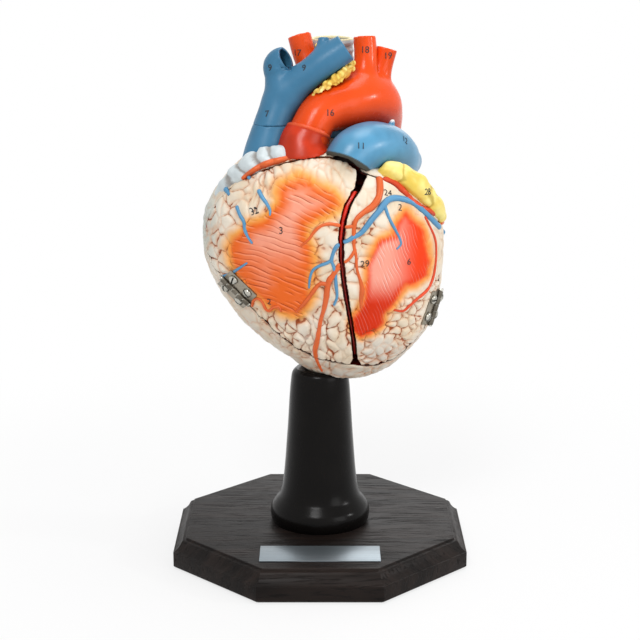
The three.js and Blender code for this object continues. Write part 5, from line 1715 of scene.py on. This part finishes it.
class HEART_OT_hinges(HeartOperator):
    """Two butt hinges with slotted round-head screws"""
    bl_idname = "heart.hinges"
    bl_label = "Hinges"

    def make(self, paints, sizes):
        leaves = {side: self.leaf(parity, face) for side, parity, face in
                  (("door", 1, 1), ("shell", 0, -1))}
        pin = self.pin()
        screw = self.screw()
        # Both metals take painted shade in the gaps between knuckles and in the screw slots
        plate = metal_look("dark_nickel", paint("A39B8C"), 0.26, paint("7A7264"), grime="grime")
        bright = metal_look("bright_nickel", paint("C4C2B8"), 0.2, paint("9E9B90"), grime="grime")
        for name, hinge in hinge_frames().items():
            for at, (side, face) in enumerate((("door", 1), ("shell", -1))):
                place = leaf_frame(hinge, face, LEAF_TILTS[name][at])
                body = f"{name}_door" if side == "door" else "root"
                node = f"{name}_hinge_{side}_leaf"
                self.put(leaves[side], place, node, plate, body)
                for end in (-1, 1):
                    turn = math.radians(SCREW_TURNS[name][at * 2 + (end + 1) // 2])
                    seat = Matrix.Translation((end * SCREW_SPACING / 2, SCREW_ACROSS,
                                               face * (FIT_GAP - LEAF_BED)))
                    flip = Matrix.Rotation(0 if face > 0 else math.pi, 4, "X")
                    label = "b" if end > 0 else "a"
                    self.put(screw, place @ seat @ flip @ Matrix.Rotation(turn, 4, "Z"),
                             f"{name}_hinge_{side}_screw_{label}", bright, body)
            self.put(pin, hinge, f"{name}_hinge_pin", bright, "root")
        for obj in (*leaves.values(), pin, screw):
            bpy.data.objects.remove(obj)

    @staticmethod
    def put(model, place, node, material, body):
        """Sets a copy of a modelled part at its place and finishes it."""
        obj = linked(node + "_metal", model.data.copy())
        scaled = Matrix.Translation((0, 0, SEAT * MM)) @ Matrix.Scale(MM, 4) @ place \
            @ Matrix.Scale(1 / MM, 4)
        obj.data.transform(scaled)
        finish_piece(obj, material, body, "dark_nickel", [node], 35)

    @staticmethod
    def leaf(parity, face):
        near = BARREL_RADIUS + 0.5
        sheet = -face * (LEAF_THICKNESS / 2 + LEAF_BED)
        low, high = sheet - LEAF_THICKNESS / 2, sheet + LEAF_THICKNESS / 2
        obj = box_piece((-LEAF_LENGTH / 2, near, low), (LEAF_LENGTH / 2, LEAF_WIDTH, high))
        round_edges(obj, lambda a, b: abs(a.z - b.z) > LEAF_THICKNESS * MM / 2
                    and a.y > LEAF_WIDTH * 0.9 * MM, LEAF_CORNER, 4)
        pitch = LEAF_LENGTH / KNUCKLES
        for index in range(parity, KNUCKLES, 2):
            start = -LEAF_LENGTH / 2 + pitch * index + (KNUCKLE_GAP / 2 if index > 0 else 0)
            end = -LEAF_LENGTH / 2 + pitch * (index + 1) - (KNUCKLE_GAP / 2 if index < KNUCKLES - 1 else 0)
            join_with(obj, [rod_along_x(BARREL_RADIUS, start, end),
                            box_piece((start, 0, low), (end, near + 0.5, high))])
        holes = [rod_along_x(PIN_RADIUS + 0.15, -LEAF_LENGTH, LEAF_LENGTH)]
        for end in (-1, 1):
            holes.append(rod(SCREW_SHANK[0] + FIT_GAP, 6, (end * SCREW_SPACING / 2, SCREW_ACROSS, 0),
                             sides=28))
        cut_away(obj, *holes)
        apply_modifier(obj, "BEVEL", width=0.16 * MM, segments=2, limit_method="ANGLE",
                       angle_limit=math.radians(50))
        x, y, _ = (coordinates(obj) + (0, 0, SEAT)).T
        # Painted shade in the gaps between the knuckles of the barrel
        from_gap = np.abs(np.mod(x + LEAF_LENGTH / 2 + pitch / 2, pitch) - pitch / 2)
        add_values(obj, "grime", (1 - smooth_step(0.36, 0.5, from_gap)) * (np.abs(y) < BARREL_RADIUS + 0.3)
                   * 0.6)
        return obj

    @staticmethod
    def pin():
        head = BARREL_RADIUS - 0.3
        tip = LEAF_LENGTH / 2 + FIT_GAP + 1.2
        half = LEAF_LENGTH / 2 + FIT_GAP
        obj = rod_along_x(PIN_RADIUS, -half - 0.2, half + 0.2)
        for end in (-1, 1):
            cap = rod_along_x(head, *sorted((end * half, end * tip)))
            apply_modifier(cap, "BEVEL", width=0.5 * MM, segments=3, limit_method="ANGLE")
            join_with(obj, [cap])
        return obj

    @staticmethod
    def screw():
        radius, rise = SCREW_HEAD
        shank, length = SCREW_SHANK
        dome = [(radius * math.cos(a), rise * (0.22 + 0.78 * math.sin(a)))
                for a in np.linspace(0, math.radians(82), 10)]
        profile = [(0.25, -length), (shank, -length + 0.9), (shank, -0.001), (radius * 0.97, 0),
                   *dome, (0.12, rise)]
        obj = turned("screw", profile, 36)
        width, depth = SLOT
        cut_away(obj, box_piece((-width / 2, -radius - 1, rise - depth),
                                (width / 2, radius + 1, rise + 1)))
        x, _, z = (coordinates(obj) + (0, 0, SEAT)).T
        # Painted shade at the bottom of the screw's slot
        add_values(obj, "grime", (np.abs(x) < width / 2 + 0.01) & (np.abs(z - rise + depth) < 0.02))
        return obj


class HEART_OT_numbers(HeartOperator):
    """Small plain index numbers painted on the parts"""
    bl_idname = "heart.numbers"
    bl_label = "Index numbers"

    def make(self, paints, sizes):
        carriers = {
            "right_ventricle_door_relief": "right_door", "left_ventricle_door_relief": "left_door",
            "heart_back_shell_relief": "root", "aortic_arch_round": "great_vessels",
            "superior_vena_cava_round": "great_vessels", "vena_cava_stub_round": "root",
            "pulmonary_trunk_round": "root", "left_auricle_lobes": "root",
            "right_auricle_lobes": "root", "aortic_root_round": "root",
        }
        trees = tree_of([bpy.data.objects[name] for name in carriers])
        slots = {name: bpy.data.objects[name].get("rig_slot") for name in carriers}
        look = Look("index_number_ink")
        wear = look.noise(900, 3)
        tone = look.mix(look.step(0.55, 0.7, wear), paint("17161A"), paint("4A4644"))
        ink = look.surface({"Base Color": tone, "Roughness": wear * 0.2 + 0.45})
        for number, (text, pixel) in enumerate(INDEX_PIXELS, 1):
            hit = first_hit(trees, *pixel_ray(pixel))
            if hit is None:
                raise RuntimeError(f"no surface for index number {text}")
            place, normal, carrier, _ = hit
            obj = self.letters(f"index_number_{number:02d}", text, place, normal, trees[carrier])
            finish_piece(obj, ink, carriers[carrier], slots[carrier] or "painted_fat")

    @staticmethod
    def cut_finely(bm):
        bmesh.ops.triangulate(bm, faces=bm.faces)
        long = [edge for edge in bm.edges if edge.calc_length() > 0.8 * MM]
        bmesh.ops.subdivide_edges(bm, edges=long, cuts=3)
        bmesh.ops.triangulate(bm, faces=bm.faces)

    @staticmethod
    def letters(name, text, place, normal, tree):
        clear_selection()
        bpy.ops.object.text_add(location=(0, 0, 0))
        obj = bpy.context.active_object
        obj.data.body = text
        obj.data.size = INDEX_HEIGHT * MM * 1.35
        obj.data.align_x = "CENTER"
        obj.data.align_y = "CENTER"
        obj.data.extrude = 0.05 * MM
        bpy.ops.object.convert(target="MESH")
        obj = bpy.context.active_object
        obj.name = obj.data.name = name
        with_edit_mesh(obj, HEART_OT_numbers.cut_finely)
        across = Vector((1, 0, 0))
        across = (across - normal * across.dot(normal)).normalized()
        up = normal.cross(across)
        for vertex in obj.data.vertices:
            flat = place + across * vertex.co.x + up * vertex.co.y
            hit = tree.ray_cast(flat + normal * 0.006, -normal)[0]
            ground = hit if hit is not None else flat
            vertex.co = ground + normal * (vertex.co.z + 0.2 * MM)
        merge_doubles(obj)
        return obj


class HEART_OT_stage(HeartOperator):
    """Pale floor, soft studio light and the camera"""
    bl_idname = "heart.stage"
    bl_label = "Stage"

    def make(self, paints, sizes):
        scene = bpy.context.scene
        scene.view_settings.view_transform = "Standard"
        clear_selection()
        bpy.ops.mesh.primitive_circle_add(vertices=96, radius=6, fill_type="NGON", location=(0, 0, 0))
        floor = bpy.context.active_object
        floor.name = floor.data.name = "floor"
        floor.data.materials.append(self.floor_look())
        self.world()
        for name, place, size, power in (
                ("key_light", (-0.3, -1.15, 1.4), 0.5, 12.5),
                ("glint_light", (1.45, -0.3, 0.68), 0.14, 4),
                ("fill_light", (1.2, -1.1, 0.6), 0.8, 5),
                ("top_light", (0.25, 0.1, 1.5), 0.7, 6),
                ("rim_light", (0.3, 1.4, 1.0), 1.0, 5)):
            data = bpy.data.lights.new(name, "AREA")
            data.size = size
            data.energy = power
            lamp = linked(name, data)
            lamp.location = place
            aim = Vector((0, 0, 0.2)) - Vector(place)
            lamp.rotation_euler = aim.to_track_quat("-Z", "Y").to_euler()
        data = bpy.data.cameras.new("camera")
        data.lens = LENS
        data.sensor_width = SENSOR
        data.clip_end = 50
        camera = linked("camera", data)
        camera.location = CAMERA_PLACE
        camera.rotation_euler = (math.pi / 2 - CAMERA_TILT, 0, 0)
        scene.camera = camera

    @staticmethod
    def seen(look):
        """1 for rays from the camera and rays mirrored by or passed through the object."""
        camera, glossy, passed = (look.node("ShaderNodeLightPath", output=name) for name in (
            "Is Camera Ray", "Is Glossy Ray", "Is Transmission Ray"))
        return camera.maths("MAXIMUM", camera, glossy.maths("MAXIMUM", glossy, passed))

    def floor_look(self):
        look = Look("pale_floor")
        matt = look.node("ShaderNodeBsdfDiffuse", None, {"Color": (0.86, 0.86, 0.86)})
        white = look.node("ShaderNodeEmission", None, {"Color": (1, 1, 1), "Strength": 1.0})
        away = look.node("ShaderNodeVectorMath", {"operation": "LENGTH"}, {0: look.place}, "Value")
        share = self.seen(look) * (look.step(0.15, 0.55, away) * 0.25 + 0.75)
        return look.finish(look.node("ShaderNodeMixShader", None, {0: share, 1: matt, 2: white}))

    def world(self):
        look = Look("studio", bpy.data.worlds.new("studio"))
        bpy.context.scene.world = look.material
        dim = look.node("ShaderNodeBackground", None, {"Color": (0.97, 0.98, 1.0), "Strength": 0.4})
        white = look.node("ShaderNodeBackground", None, {"Color": (1, 1, 1), "Strength": 1.0})
        both = look.node("ShaderNodeMixShader", None, {0: self.seen(look), 1: dim, 2: white})
        look.finish(both, "ShaderNodeOutputWorld")


OPERATORS = (
    HEART_OT_stage, HEART_OT_base, HEART_OT_nameplate, HEART_OT_post, HEART_OT_clamp,
    HEART_OT_walls, HEART_OT_crest, HEART_OT_auricles, HEART_OT_coronaries, HEART_OT_aorta,
    HEART_OT_great_veins, HEART_OT_trunk, HEART_OT_windpipe, HEART_OT_loose_fat, HEART_OT_pulmonary_veins,
    HEART_OT_chambers, HEART_OT_hinges, HEART_OT_numbers,
)


class HEART_PT_model(bpy.types.Panel):
    """Lists the pieces of the heart model"""
    bl_idname = "HEART_PT_model"
    bl_label = "Heart model"
    bl_space_type = "VIEW_3D"
    bl_region_type = "UI"
    bl_category = "Heart model"

    def draw(self, context):
        for operator in OPERATORS:
            self.layout.operator(operator.bl_idname)
        for group in (context.scene.heart_sizes, context.scene.heart_paints):
            column = self.layout.column()
            for name in group.bl_rna.properties.keys():
                if name not in ("name", "rna_type"):
                    column.prop(group, name)


CLASSES = (HeartPaints, HeartSizes, *OPERATORS, HEART_PT_model)


def register():
    for cls in CLASSES:
        bpy.utils.register_class(cls)
    bpy.types.Scene.heart_paints = PointerProperty(type=HeartPaints)
    bpy.types.Scene.heart_sizes = PointerProperty(type=HeartSizes)


def unregister():
    del bpy.types.Scene.heart_sizes
    del bpy.types.Scene.heart_paints
    for cls in reversed(CLASSES):
        bpy.utils.unregister_class(cls)


def main():
    register()
    for operator in OPERATORS:
        getattr(bpy.ops.heart, operator.bl_idname.split(".")[1])()


if __name__ == "__main__":
    main()
